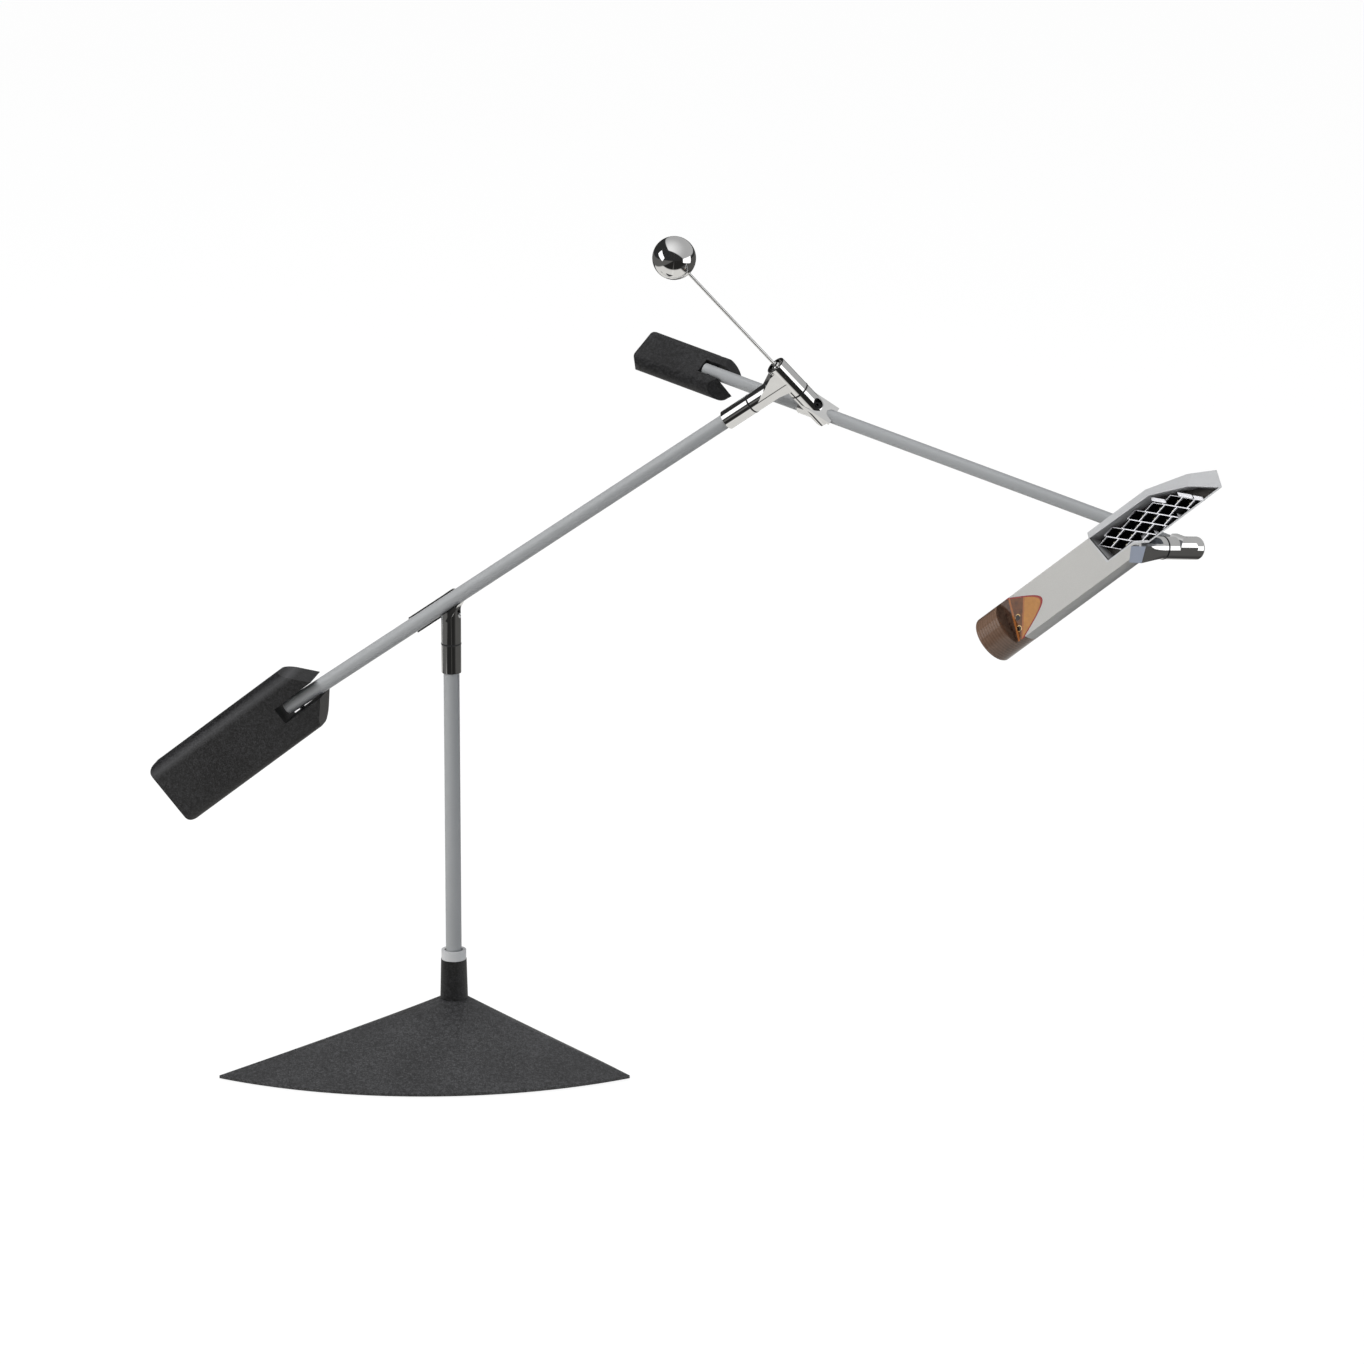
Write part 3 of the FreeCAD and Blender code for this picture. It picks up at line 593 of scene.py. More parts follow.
class Finish(Enum):
    """Finishes of the lamp's pieces."""

    BLACK_GRAIN = PowderCoat("lamp_black_grain")
    # Lower weight's coat, with a painted highlight along its rounded edge.
    EDGED_GRAIN = PowderCoat("lamp_grain_painted_highlight", edge=19.8)
    FOOT_GRAIN = PowderCoat("lamp_foot_grain", (0.010, 0.010, 0.0105), (0.062, 0.062, 0.065))
    SILVER = SatinMetal("lamp_silver_tube", (0.33, 0.338, 0.345), 0.50, 0.25, 0.9 * MM, 0.03)
    PALE = SatinMetal("lamp_pale_satin", (0.44, 0.435, 0.42), 0.45, 0.25, 0.5 * MM, 0.07)
    NOSE = SatinMetal("lamp_nose_satin", (0.475, 0.48, 0.49), 0.45, 0.25, 0.5 * MM, 0.07)
    COLLAR = SatinMetal("lamp_collar_grey", (0.55, 0.555, 0.565), 0.4, 0.3)
    CHROME = Chrome("lamp_chrome")
    # Bracket's end facet: milled metal, with its blue tint a painted reflection.
    BRACKET = Chrome("lamp_chrome_bracket", facet=(0.42, 0.46, 0.55),
                     facet_point=(0.0, 0.0, -44.1), facet_normal=(-1.057, 0.0, -1.0))
    STEEL = SatinMetal("lamp_ground_steel", (0.42, 0.42, 0.43), 0.22, 1.0)
    BLACK_STEEL = SatinMetal("lamp_black_steel", (0.02, 0.02, 0.022), 0.25, 0.6)
    BLACK = Moulded("lamp_black_ring", (0.010, 0.010, 0.011), 0.35)
    BOARD = Moulded("lamp_board", (0.055, 0.05, 0.045), 0.5)
    CUP = Moulded("lamp_black_cup", (0.004, 0.004, 0.005), 0.25, 0.3)
    RIM = SatinMetal("lamp_silvered_rim", (0.72, 0.72, 0.75), 0.22, 0.6)
    LENS = Moulded("lamp_emitter_lens", (0.55, 0.52, 0.36), 0.15)
    BRASS = SatinMetal("lamp_brass_pin", (0.75, 0.48, 0.18), 0.2, 1.0)
    # Window colours: dark is the cavity in painted shade, and the tip's golden colour is painted
    # light coming through the amber.
    AMBER = Amber("lamp_amber", ring=((0.118, 0.072, 0.048), (0.155, 0.094, 0.066)),
                  dark=(0.035, 0.012, 0.006), frame=(0.30, 0.10, 0.025),
                  gold=(0.42, 0.18, 0.035), edge=(0.22, 0.012, 0.012), roughness=0.04)
    FRAME = Moulded("lamp_amber_frame", (0.30, 0.10, 0.03), 0.3)

    def material(self) -> bpy.types.Material:
        """Material of this finish, made once."""
        found = bpy.data.materials.get(self.value.name)
        return found or self.value.make()


class Body(Enum):
    """Bodies that pieces ride on."""

    FOOT = "foot"
    LOWER_ARM = "lower_arm"
    ELBOW = "elbow"
    UPPER_ARM = "upper_arm"
    HEAD = "head"


class Bench:
    """A new piece while it is shaped in its own frame, in metres."""

    def __init__(self) -> None:
        """Start with an empty mesh."""
        self.mesh = bmesh.new()

    def lathe(self, profile: Sequence[Pair], steps: int = 48) -> Bench:
        """Turn a profile of radii and heights, in millimetres, about Z."""
        spots = [self.mesh.verts.new((radius * MM, 0, height * MM)) for radius, height in profile]
        lines = [self.mesh.edges.new(pair) for pair in zip(spots, spots[1:])]
        bmesh.ops.spin(self.mesh, geom=spots + lines, cent=(0, 0, 0), axis=(0, 0, 1),
                       dvec=(0, 0, 0), angle=2 * math.pi, steps=steps, use_merge=True)
        bmesh.ops.remove_doubles(self.mesh, verts=self.mesh.verts, dist=TOUCH)
        return self

    def prism(self, sides: int, radius: float, low: float, high: float,
              chamfer: float) -> Bench:
        """Prism about Z with chamfered ends, its radius to its corners, all in millimetres."""
        made = bmesh.ops.create_cone(self.mesh, cap_ends=True, segments=sides, radius1=radius * MM,
                                     radius2=radius * MM, depth=(high - low) * MM)
        bmesh.ops.translate(self.mesh, vec=(0, 0, (low + high) / 2 * MM), verts=made["verts"])
        flat = [edge for edge in self.mesh.edges
                if abs(edge.verts[0].co.z - edge.verts[1].co.z) < 10 * TOUCH]
        bmesh.ops.bevel(self.mesh, geom=flat, offset=chamfer * MM, segments=2, profile=0.5,
                        affect="EDGES", material=-1)
        return self

    def outward(self) -> Bench:
        """Make all faces point out of the closed piece."""
        bmesh.ops.recalc_face_normals(self.mesh, faces=self.mesh.faces)
        return self

    def place(self, name: str, home: Matrix, body: Body, slot: str,
              finishes: Sequence[Finish], sharp: float = 32.0) -> bpy.types.Object:
        """Set the piece in its place on the lamp.

        Args:
            name: The piece's name.
            home: The frame that it was shaped in.
            body: The body that it rides on.
            slot: Not used.
            finishes: Its finishes, in the order of its faces' numbers.
            sharp: Angle in degrees above which an edge stays sharp.

        Returns:
            The piece.
        """
        bmesh.ops.transform(self.mesh, matrix=home, verts=self.mesh.verts)
        data = bpy.data.meshes.new(name)
        self.mesh.to_mesh(data)
        self.mesh.free()
        data.shade_smooth()
        data.set_sharp_from_angle(angle=math.radians(sharp))
        for finish in finishes:
            data.materials.append(finish.material())
        piece = bpy.data.objects.new(name, data)
        bpy.context.collection.objects.link(piece)
        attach(piece, body.value)
        LOG.info("built %s with %d faces", name, len(data.polygons))
        return piece


@dataclass
class Sockets:
    """Hexagon sockets in the heads of the saddles' screws."""

    shift: float = 4.2
    top: float = 6.77
    outer: float = 1.52
    hexagon: float = 1.15
    thickness: float = 0.7

    def build(self) -> None:
        """Make one liner in each screw's socket."""
        places = (("stem_socket", CHAIN.stem_turn(), CHAIN.lower_height, Body.LOWER_ARM),
                  ("upper_socket", CHAIN.elbow_turn(), CHAIN.upper_along, Body.UPPER_ARM))
        for name, base, crossing, body in places:
            bench = Bench()
            for segments, radius in ((24, self.outer), (6, self.hexagon)):
                bmesh.ops.create_circle(bench.mesh, segments=segments, radius=radius * MM)
            bmesh.ops.bridge_loops(bench.mesh, edges=bench.mesh.edges[:])
            bmesh.ops.solidify(bench.mesh, geom=bench.mesh.faces[:], thickness=self.thickness * MM)
            crossed = branch(base, crossing, 0, 90 + CHAIN.saddle_angle / 2)
            home = shifted(crossed, self.shift, 0, self.top)
            bench.outward().place(name, home, body, "black_steel", [Finish.BLACK_STEEL])


@dataclass
class RodEnd:
    """Nut and ferrule where the balance rod leaves the elbow."""

    seat: float = -9.3
    nut_top: float = -14.6
    flats: float = 8.0
    chamfer: float = 0.45
    ferrule: tuple[Pair, ...] = (
        (1.1, 0.6), (3.1, 0.6), (3.1, -0.5), (2.5, -1.0), (2.0, -1.2), (2.0, -2.6), (1.1, -3.0))

    def build(self) -> None:
        """Make the nut and the ferrule."""
        bench = Bench().prism(6, self.flats / math.sqrt(3), self.nut_top, self.seat, self.chamfer)
        nut = bench.outward().place("chamfered_nut", CHAIN.elbow(), Body.ELBOW, "chrome",
                                    [Finish.CHROME])
        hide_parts("rod_nut")
        profile = [(radius, self.nut_top + height) for radius, height in self.ferrule]
        bench = Bench().lathe(profile, 32).outward()
        bench.place("rod_ferrule", CHAIN.elbow(), Body.ELBOW, "chrome", [Finish.CHROME])


@dataclass
class Tubes:
    """Drawn tubes of the stem and arms, and the thin rod of the ball.

    Each size is a radius and the heights of both ends, in millimetres.
    """

    wall: float = 1.2
    plug: float = 2.0
    edge: float = 0.3
    play: float = 0.1
    sharp: float = 40.0
    stem: Triple = (6.0, 6.0, 300.2)
    lower: Triple = (5.6, -161.1, 272.9)
    upper: Triple = (4.9, -97.9, 300.9)
    rod: Triple = (1.1, -130.3, -3.71)

    def tube(self, name: str, home: Matrix, body: Body, size: Triple) -> None:
        """Make a tube with a plugged tail in place of a node, with Z along it."""
        full, low, high = size
        radius, bore = full - self.play, full - self.wall
        profile = [(0, low), (radius - self.edge, low), (radius, low + self.edge), (radius, high),
                   (bore, high), (bore, low + self.plug), (0, low + self.plug)]
        bench = Bench().lathe(profile, 96).outward()
        piece = bench.place(f"drawn_{name}", home, body, "satin_tube", [Finish.SILVER], self.sharp)
        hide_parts(name)

    def build(self) -> None:
        """Make the three tubes and the rod."""
        self.tube("stem_tube", Matrix(), Body.FOOT, self.stem)
        self.tube("lower_tube", CHAIN.lower_arm(), Body.LOWER_ARM, self.lower)
        self.tube("upper_tube", CHAIN.upper_arm(), Body.UPPER_ARM, self.upper)
        radius, low, high = self.rod
        bench = Bench().lathe([(0, low), (radius, low), (radius, high), (0, high)]).outward()
        rod = bench.place("drawn_rod", CHAIN.elbow(), Body.ELBOW, "chrome", [Finish.CHROME],
                          self.sharp)
        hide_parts("balance_rod")


@dataclass
class Rings:
    """Round rubber rings between the swivels' barrels, and the short pin of the upper weight.

    Each ring's place is its height on the swivel's axis and its radius, in millimetres.
    """

    half_width: float = 0.85
    bore: float = 5.0
    edge: float = 0.45
    shoulder: float = 0.1
    rise: float = 0.3
    sharp: float = 50.0
    stem: Pair = (313.1, 7.6)
    elbow: Pair = (287.7, 7.6)
    upper: Pair = (12.0, 7.6)
    head: Pair = (-14.5, 8.5)
    pin_tail: float = -97.9
    pin_turn: float = 261.3
    pin_along: float = 6.0
    pin_radius: float = 2.0
    pin_ends: Pair = (-12.0, 13.5)
    pin_chamfer: float = 0.3

    def ring(self, node: str, home: Matrix, body: Body, place: Pair) -> None:
        """Make one ring in place of a node, riding on a body."""
        along, radius = place
        low, high = along - self.half_width, along + self.half_width
        rounded_edge, flank = radius - self.edge, radius - self.shoulder
        profile = [(self.bore, low), (rounded_edge, low), (flank, low + self.rise), (radius, along),
                   (flank, high - self.rise), (rounded_edge, high), (self.bore, high), (self.bore, low)]
        bench = Bench().lathe(profile, 64).outward()
        piece = bench.place(f"seal_{node}", home, body, "black_plastic", [Finish.BLACK], self.sharp)
        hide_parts(node)

    def build(self) -> None:
        """Make the rings and the pin."""
        self.ring("stem_ring", Matrix(), Body.FOOT, self.stem)
        self.ring("elbow_ring", CHAIN.lower_arm(), Body.LOWER_ARM, self.elbow)
        self.ring("upper_ring", CHAIN.elbow(), Body.ELBOW, self.upper)
        self.ring("head_ring", CHAIN.head_swivel(), Body.UPPER_ARM, self.head)
        tail = branch(CHAIN.upper_arm(), self.pin_tail, self.pin_turn, 0)
        home = branch(tail, self.pin_along, 0, 90)
        bench = Bench().prism(24, self.pin_radius, *self.pin_ends, self.pin_chamfer).outward()
        pin = bench.place("short_pin", home, Body.UPPER_ARM, "black_steel", [Finish.BLACK_STEEL])
        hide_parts("upper_weight_pin")


@dataclass
class Panel:
    """Reflector block, emitters and blank tabs in the mouth of the head's housing."""

    top: float = 2.2
    floor: float = -5.8
    cell: Triple = (0.0, 7.1, 8.6)
    wall: Triple = (0.0, -1.96, 9.13)
    row: Triple = (0.0, 0.0, 11.5)
    first: Triple = (0.0, -10.2, -20.2)
    rim: float = 0.34
    lip: float = 1.3
    cup_shrink: float = 0.5
    cup_bottom: float = 0.8
    rows: tuple[tuple[int, tuple[float, ...]], ...] = (
        (-1, (0.5, 1.5)), (0, (0, 1, 2, 3)), (1, (0.5, 1.5, 2.5)), (2, (0, 1, 2, 3)),
        (3, (0.5, 1.5, 2.5)), (4, (1, 2, 3)))
    weld: float = 0.05 * MM
    tabs: tuple[Triple, ...] = ((3.81, 0.10, 13.0), (4.70, 1.44, 13.0), (4.66, 2.56, 8.6))
    tab_width: float = 3.2
    tab_thickness: float = 0.7
    tab_parts: tuple[Triple, ...] = ((0, 1, 0.0), (-0.7, 0.3, 0.4), (0.7, 0.3, 0.4))
    rib_taper: float = 0.1
    mouth: tuple[Pair, ...] = (
        (-16.0, -38.4), (6.86, -31.18), (6.57, -5.78), (13.5, 6.45), (12.47, 76.35),
        (-2.43, 53.63), (-15.12, 21.02))
    mouth_step: float = -8.0
    gap: float = 0.5
    wall_points: tuple[Triple, Triple, Triple] = (
        (6.7, 14.68, 5.87), (6.7, 13.8, 78.68), (-5.5, -5.53, 73.09))
    wall_lean: Triple = (-1.0, -0.487, -0.612)
    wall_inset: float = 1.5
    emitter_radius: float = 0.9
    emitter_dome: float = 0.7
    emitter_rise: float = 1.1
    # Dark strip at the mouth's near end that paints the shadow in the gap there.
    last_emitter: float = 5.0
    gap_shadow_inset: float = 0.45
    gap_shadow_level: float = 6.3
    gap_shadow_half: float = 0.5
    gap_shadow_thickness: float = 0.4
    sharp: float = 20.0
    dome_sharp: float = 80.0

    def centre(self, row: float, cell: float) -> Vector:
        """Centre of a cell at the block's top, in millimetres."""
        spot = Vector(self.first) + Vector(self.row) * row + Vector(self.cell) * cell
        spot.x = self.top
        return spot

    def centres(self) -> list[Vector]:
        """Centres of all cells."""
        return [self.centre(row, cell) for row, cells in self.rows for cell in cells]

    def trim(self, mesh: Mesh, corners: Corners, centre: Vector) -> None:
        """Cut a cell off where it would cross the housing's side wall."""
        for side in (1,) if centre.z < self.mouth_step else (2, 3):
            (y0, z0), (y1, z1) = self.mouth[side], self.mouth[side + 1]
            normal = Vector((0, z1 - z0, y0 - y1)).normalized()
            point = Vector((self.top, y0, z0)) - normal * self.gap
            faces = once(face for vert in corners if vert.is_valid for face in vert.link_faces)
            edges = once(edge for face in faces for edge in face.edges)
            spots = once(vert for face in faces for vert in face.verts)[::-1]
            bmesh.ops.bisect_plane(mesh, geom=spots + edges + faces, dist=TOUCH,
                                   plane_co=point * MM, plane_no=normal, clear_outer=True)

    def quad(self, mesh: Mesh, centre: Vector, across: Vector, up: Vector) -> Corners:
        """Parallelogram round a centre, given half of each side, all in millimetres."""
        made = bmesh.ops.create_grid(mesh, x_segments=1, y_segments=1, size=1)["verts"]
        turn = Matrix((across, up, across.cross(up).normalized())).transposed().to_4x4()
        turn.translation = centre
        bmesh.ops.transform(mesh, matrix=Matrix.Scale(MM, 4) @ turn, verts=made)
        return made

    def cups(self, mesh: Mesh) -> None:
        """Sink a cup into each cell of the block's top, black from below its lip."""
        cells = [face for face in mesh.faces
                 if abs(face.calc_center_median().x - self.top * MM) < 0.1 * MM]
        bmesh.ops.inset_individual(mesh, faces=cells, thickness=self.rim * MM, use_even_offset=True)
        lips = bmesh.ops.extrude_discrete_faces(mesh, faces=cells)["faces"]
        for face in lips:
            bmesh.ops.translate(mesh, vec=(-self.lip * MM, 0, 0), verts=face.verts)
        sink = (self.floor - self.top + self.lip + self.cup_bottom) * MM
        for face in bmesh.ops.extrude_discrete_faces(mesh, faces=lips)["faces"]:
            middle = face.calc_center_median()
            bmesh.ops.scale(mesh, vec=(1, self.cup_shrink, self.cup_shrink), verts=face.verts,
                            space=Matrix.Translation(-middle))
            bmesh.ops.translate(mesh, vec=(sink, 0, 0), verts=face.verts)
        below = (self.top - self.lip * 0.9) * MM
        for face in mesh.faces:
            inside = min(vert.co.x for vert in face.verts) > (self.floor + 0.5) * MM
            face.material_index = int(inside and face.calc_center_median().x < below)

    def lean(self, mesh: Mesh) -> None:
        """Cut the block along the housing's two leaning walls and close the cuts."""
        low, high, tip = (Vector(spot) for spot in self.wall_points)
        for first, second in ((low, high), (high, tip)):
            normal = (second - first).cross(Vector(self.wall_lean)).normalized()
            normal = normal if normal.dot(first) > 0 else -normal
            point = (first - normal * self.wall_inset) * MM
            bmesh.ops.bisect_plane(mesh, geom=mesh.verts[:] + mesh.edges[:] + mesh.faces[:],
                                   dist=TOUCH, plane_co=point, plane_no=normal,
                                   clear_outer=True)
        bmesh.ops.holes_fill(mesh, edges=[edge for edge in mesh.edges if edge.is_boundary], sides=0)

    def block(self) -> None:
        """Make the block of black cups with silvered rims."""
        bench = Bench()
        mesh = bench.mesh
        across, up = Vector(self.cell) / 2, Vector(self.wall) / 2
        for centre in self.centres():
            self.trim(mesh, self.quad(mesh, centre, across, up), centre)
        bmesh.ops.remove_doubles(mesh, verts=mesh.verts, dist=self.weld)
        outer = [edge for edge in mesh.edges if edge.is_boundary]
        skirt = bmesh.ops.extrude_edge_only(mesh, edges=outer)["geom"]
        lowered = [item for item in skirt if isinstance(item, bmesh.types.BMVert)]
        bmesh.ops.translate(mesh, vec=((self.floor - self.top) * MM, 0, 0), verts=lowered)
        self.cups(mesh)
        self.lean(mesh)
        block = bench.place("reflector_cells", CHAIN.head(), Body.HEAD, "reflector",
                            [Finish.RIM, Finish.CUP], self.sharp)
        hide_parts("reflector_array")

    def emitters(self) -> None:
        """Make one domed emitter at the bottom of each cup that lies clear of the wall."""
        bench = Bench()
        for centre in self.centres():
            if centre.y > self.last_emitter:
                continue
            made = bmesh.ops.create_uvsphere(bench.mesh, u_segments=12, v_segments=8,
                                             radius=self.emitter_radius * MM)["verts"]
            bmesh.ops.scale(bench.mesh, vec=(self.emitter_dome, 1, 1), verts=made)
            spot = Vector((self.floor + self.emitter_rise, centre.y, centre.z)) * MM
            bmesh.ops.translate(bench.mesh, vec=spot, verts=made)
        piece = bench.place("emitters", CHAIN.head(), Body.HEAD, "led", [Finish.LENS],
                            self.dome_sharp)
        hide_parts("leds")

    def blanks(self) -> None:
        """Make the flat silvered tabs where the block has no cups, each with two ribs."""
        bench = Bench()
        side = Vector((0, 1, 0)) * self.tab_width / 2
        for row, cell, length in self.tabs:
            along = Vector(self.cell).normalized() * length / 2
            for shift, width, height in self.tab_parts:
                spot = self.centre(row, cell) + side * shift
                spot.x = self.top + height
                taper = 1 - height * self.rib_taper
                self.quad(bench.mesh, spot, along * taper, side * width)
        bmesh.ops.solidify(bench.mesh, geom=bench.mesh.faces[:], thickness=self.tab_thickness * MM)
        bench.outward().place("reflector_tabs", CHAIN.head(), Body.HEAD, "reflector", [Finish.RIM],
                              self.sharp)

    def gap_shadow(self) -> None:
        """Make the dark strip inside the near end of the mouth: painted shadow in the gap between
        the head's body and the housing.
        """
        bench = Bench()
        corners = [Vector(corner) for corner in self.mouth[:3]]
        for first, second in zip(corners, corners[1:]):
            run = second - first
            middle = (first + second) / 2 - Vector((run.y, -run.x)).normalized() * self.gap_shadow_inset
            spot = Vector((self.gap_shadow_level, middle.x, middle.y))
            half = Vector((self.gap_shadow_half, 0, 0))
            self.quad(bench.mesh, spot, half, Vector((0, run.x, run.y)) / 2)
        bmesh.ops.solidify(bench.mesh, geom=bench.mesh.faces[:], thickness=self.gap_shadow_thickness * MM)
        bench.outward().place("mouth_seam", CHAIN.head(), Body.HEAD, "board", [Finish.BLACK],
                              self.sharp)

    def build(self) -> None:
        """Make the panel's pieces."""
        self.gap_shadow()
        self.block()
        self.emitters()
        self.blanks()


@dataclass
class CapPins:
    """Brass contact pins behind the holes of the frame in the amber cap."""

    places: tuple[Triple, ...] = ((-2.5, -3.9, -135.0), (-2.5, 3.9, -135.0), (-2.5, 0.0, -128.0))
    radius: float = 0.9
    tip_radius: float = 0.72
    length: float = 6.0

    def build(self) -> None:
        """Make the pins."""
        bench = Bench()
        turn = Matrix.Rotation(math.pi / 2, 3, "Y")
        for place in self.places:
            made = bmesh.ops.create_cone(bench.mesh, cap_ends=True, segments=16,
                                         radius1=self.radius * MM, radius2=self.tip_radius * MM,
                                         depth=self.length * MM)["verts"]
            bmesh.ops.rotate(bench.mesh, cent=(0, 0, 0), matrix=turn, verts=made)
            bmesh.ops.translate(bench.mesh, vec=Vector(place) * MM, verts=made)
        bench.place("cap_pins", CHAIN.head(), Body.HEAD, "amber", [Finish.BRASS])


@dataclass
class Dressing:
    """Finishes of the solids that stay as they are."""

    groups: tuple[tuple[Finish, str], ...] = (
        (Finish.FOOT_GRAIN, "foot_casting"),
        (Finish.BLACK_GRAIN, "upper_weight neck"),
        (Finish.EDGED_GRAIN, "lower_weight"),
        (Finish.COLLAR, "collar"),
        (Finish.CHROME, "stem_sleeve stem_saddle elbow_sleeve elbow_body balance_ball "
                        "upper_saddle head_saddle"),
        (Finish.BRACKET, "head_bracket"),
        (Finish.BLACK, "foot_plate"),
        (Finish.STEEL, "stem_spindle elbow_spindle upper_spindle head_spindle"),
        # The lower weight's pin is black so that where it shows under the tube it stands for the
        # slot's shade: painted shade.
        (Finish.BLACK_STEEL, "stem_saddle_screw upper_saddle_screw lower_weight_pin"),
        (Finish.PALE, "head_body"),
        (Finish.NOSE, "led_housing"),
        (Finish.BOARD, "led_board"),
        (Finish.AMBER, "amber_cap"),
        (Finish.FRAME, "cap_frame"),
    )

    def build(self) -> None:
        """Give each solid its finish."""
        for finish, nodes in self.groups:
            for node in nodes.split():
                piece = bpy.data.objects[node]
                piece.data.materials.clear()
                piece.data.materials.append(finish.material())
                LOG.info("dressed %s in %s", node, finish.value.name)


def plane(name: str, home: Matrix) -> bpy.types.Object:
    """Square two metres wide, set in a frame that may scale it, and linked to the scene."""
    mesh = bmesh.new()
    bmesh.ops.create_grid(mesh, x_segments=1, y_segments=1, size=1)
    bmesh.ops.transform(mesh, matrix=home, verts=mesh.verts)
    data = bpy.data.meshes.new(name)
    mesh.to_mesh(data)
    mesh.free()
    piece = bpy.data.objects.new(name, data)
    bpy.context.collection.objects.link(piece)
    return piece


@dataclass(frozen=True)
class Glow:
    """Lit part of the studio's tent as shiny pieces mirror it, between planes through the lamp."""

    planes: tuple[tuple[Triple, float], ...]
    toward: Triple
    bright: float
    dim: float
    soft: float = 0.05

    def seen(self, sky: Nodes, direction: Socket) -> Value:
        """Brightness of the part in a ray's direction."""
        fade = sky.dot(direction, self.toward).clamped()
        light = fade * fade * (self.bright - self.dim) + self.dim
        for normal, offset in self.planes:
            light = light * sky.dot(direction, normal).step(offset, self.soft)
        return light


@dataclass(frozen=True)
class Card:
    """White card beside the object that only shiny pieces mirror."""

    name: str
    centre: Triple
    across: Triple
    up: Triple
    strength: float

    def build(self) -> None:
        """Make the card."""
        normal = Vector(self.across).cross(Vector(self.up)).normalized()
        turn = Matrix((self.across, self.up, normal)).transposed().to_4x4()
        turn.translation = self.centre
        card = plane(self.name, turn)
        shader = Shader(self.name)
        shader.close(shader.glow(self.strength))
        card.data.materials.append(shader.material)
        for ray in ("camera", "diffuse", "transmission", "shadow"):
            setattr(card, f"visible_{ray}", False)


@dataclass
class Floor:
    """Floor that shows white, keeps the lamp's shadow and is mirrored as a lit sheet.

    Each edge is where a soft step is a half and how wide it is, in metres.
    """

    half_size: float = 12.0
    drop: float = 0.0002
    patch: float = 0.4
    tones: tuple[Colour, Colour] = ((0.84, 0.84, 0.84), (0.86, 0.86, 0.86))
    white: float = 1.05
    white_share: float = 0.86
    sheet_x: tuple[Pair, Pair] = ((-0.85, 0.2), (0.62, 0.1))
    sheet_y: tuple[Pair, Pair] = ((-0.6, 0.12), (0.95, 0.3))
    sheet_glow: float = 0.72
    sheet_colour: Colour = (1.0, 0.985, 0.95)
    right_x: Pair = (0.75, 0.25)
    right_y: Pair = (-0.75, 0.3)
    right_glow: float = 0.07
    left_glow: float = 0.1
    streak_x: float = 0.1
    streak_half: float = 0.05
    streak_glow: float = 0.12
    base_glow: float = 0.02
    bounce_x: Pair = (0.45, 0.5)
    bounce: tuple[Colour, Colour] = ((0.16, 0.16, 0.17), (0.8, 0.8, 0.79))

    def mirrored(self, x: Value, y: Value) -> Value:
        """Brightness in shiny pieces at a point: a sheet, dimmer sides and a streak."""
        left = x.step(*self.sheet_x[0])
        sheet = left * (1 - x.step(*self.sheet_x[1]))
        sheet = sheet * y.step(*self.sheet_y[0]) * (1 - y.step(*self.sheet_y[1]))
        right = x.step(*self.right_x) * y.step(*self.right_y)
        streak = (1 - abs(x - self.streak_x) / self.streak_half).clamped()
        sides = right * self.right_glow + (1 - left) * self.left_glow
        return sheet * self.sheet_glow + sides + streak * self.streak_glow + self.base_glow

    def build(self) -> None:
        """Make the floor."""
        home = Matrix.Translation((0, 0, -self.drop)) @ Matrix.Scale(self.half_size, 4)
        floor = plane("floor", home)
        shader = Shader("floor")
        where = shader.place()
        x, y, _ = shader.axes(where)
        colour = shader.ramp(shader.noise(where, self.patch), list(zip((0.3, 0.7), self.tones)))
        shown = shader.either(self.white_share, shader.matt(colour), shader.glow(self.white))
        warm = shader.glow(self.mirrored(x, y), self.sheet_colour)
        fall = shader.ramp(1 - x.step(*self.bounce_x), list(zip((0.0, 1.0), self.bounce)))
        shader.by_ray(shader.matt(fall), warm, shown)
        floor.data.materials.append(shader.material)


@dataclass(frozen=True)
class Lamp:
    """Soft square lamp that lights matt surfaces and isn't mirrored."""

    name: str
    at: Triple
    size: float
    power: float
    colour: Colour = (1.0, 1.0, 1.0)

    def build(self, target: Triple) -> None:
        """Make the lamp, aimed at a point."""
        data = bpy.data.lights.new(self.name, "AREA")
        data.size = self.size
        data.energy = self.power
        data.color = self.colour
        lamp = bpy.data.objects.new(self.name, data)
        lamp.location = self.at
        aim = Vector(target) - Vector(self.at)
        lamp.rotation_euler = aim.to_track_quat("-Z", "Y").to_euler()
        lamp.visible_camera = False
        lamp.visible_glossy = False
        bpy.context.collection.objects.link(lamp)


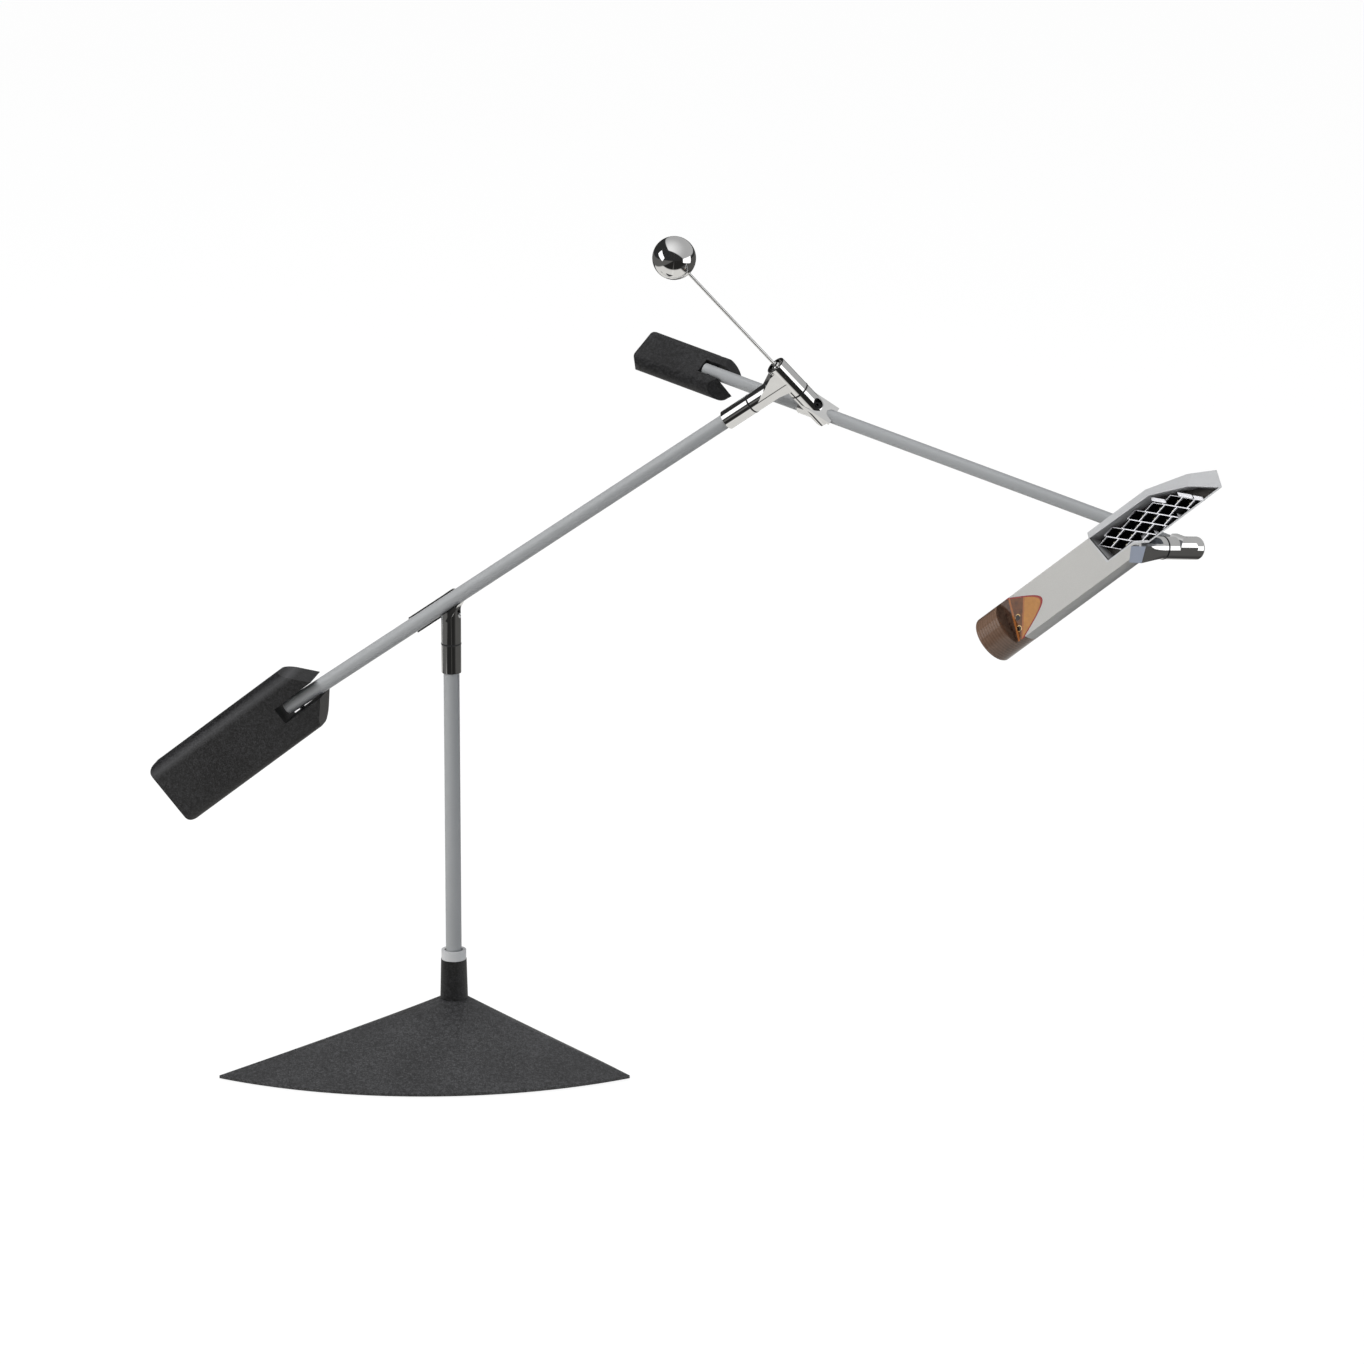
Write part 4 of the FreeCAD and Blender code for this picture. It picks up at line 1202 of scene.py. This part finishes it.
@dataclass
class Studio:
    """Floor, world, lamps, cards and the camera."""

    pitch: float = 16.0
    focal_pixels: float = 8000.0
    image_pixels: float = 1364.0
    target: Triple = (0.17068, 0.0, 0.28341)
    distance: float = 5.92593
    sensor: float = 36.0
    far: float = 50.0
    glow: Glow = Glow((((0.45, 0.59, 0.67), 0.0), ((0.85, 0.0, 0.53), 0.0), ((0.0, 0.0, 1.0), 0.1)),
                      (-0.46, -0.49, 0.74), 0.9, 0.42)
    tent_base: float = 0.03
    sky_toward: Triple = (-0.3, -0.35, 0.89)
    sky_glow: float = 0.6
    sky_base: float = 0.25
    cards: tuple[Card, ...] = (
        Card("right_card", (2.0, -0.85, 0.42), (0, 0.95, 0), (0, 0, 0.42), 1.5),
        Card("left_lamp", (-1.35, -0.55, 0.95), (0.05, 0.55, 0.33), (0.1, -0.16, 0.26), 1.4),
    )
    lamps: tuple[Lamp, ...] = (
        Lamp("key", (-2.4, -1.3, 1.7), 1.1, 52),
        Lamp("top", (-0.9, 0.2, 2.6), 1.6, 30),
        Lamp("right", (2.4, -1.2, 0.9), 1.0, 10, (0.66, 0.80, 1.0)),
    )

    def camera(self) -> None:
        """Place the camera at the photograph's viewing angle."""
        data = bpy.data.cameras.new("camera")
        data.sensor_width = self.sensor
        data.lens = self.sensor * self.focal_pixels / self.image_pixels
        data.clip_end = self.far
        camera = bpy.data.objects.new("camera", data)
        lean = math.radians(self.pitch)
        away = Vector((0, -math.cos(lean), math.sin(lean)))
        camera.location = Vector(self.target) + away * self.distance
        camera.rotation_euler = (math.pi / 2 - lean, 0, 0)
        bpy.context.collection.objects.link(camera)
        bpy.context.scene.camera = camera

    def world(self) -> None:
        """Soft world, white behind the lamp and mirrored as a tent with dark gaps."""
        world = bpy.data.worlds.new("studio")
        world.use_nodes = True
        bpy.context.scene.world = world
        sky = Nodes(world.node_tree, "ShaderNodeOutputWorld")
        direction = sky.node("ShaderNodeTexCoord").outputs["Generated"]
        tent = self.glow.seen(sky, direction) + self.tent_base
        soft = sky.dot(direction, self.sky_toward).clamped() * self.sky_glow + self.sky_base
        levels = ({"Color": rgba((1, 1, 1)), "Strength": level} for level in (soft, tent, 1.0))
        sky.by_ray(*(sky.node("ShaderNodeBackground", inputs=level).outputs[0]
                     for level in levels))

    def build(self) -> None:
        """Make the whole set."""
        bpy.context.scene.view_settings.view_transform = "Standard"
        self.camera()
        Floor().build()
        self.world()
        for card in self.cards:
            card.build()
        for lamp in self.lamps:
            lamp.build(self.target)


def main() -> None:
    """Dress the lamp, add its small pieces and set up the studio."""
    logging.basicConfig(level=logging.INFO)
    Studio().build()
    Dressing().build()
    for group in (Tubes(), Sockets(), RodEnd(), Rings(), Panel(), CapPins()):
        group.build()


if __name__ == "__main__":
    main()
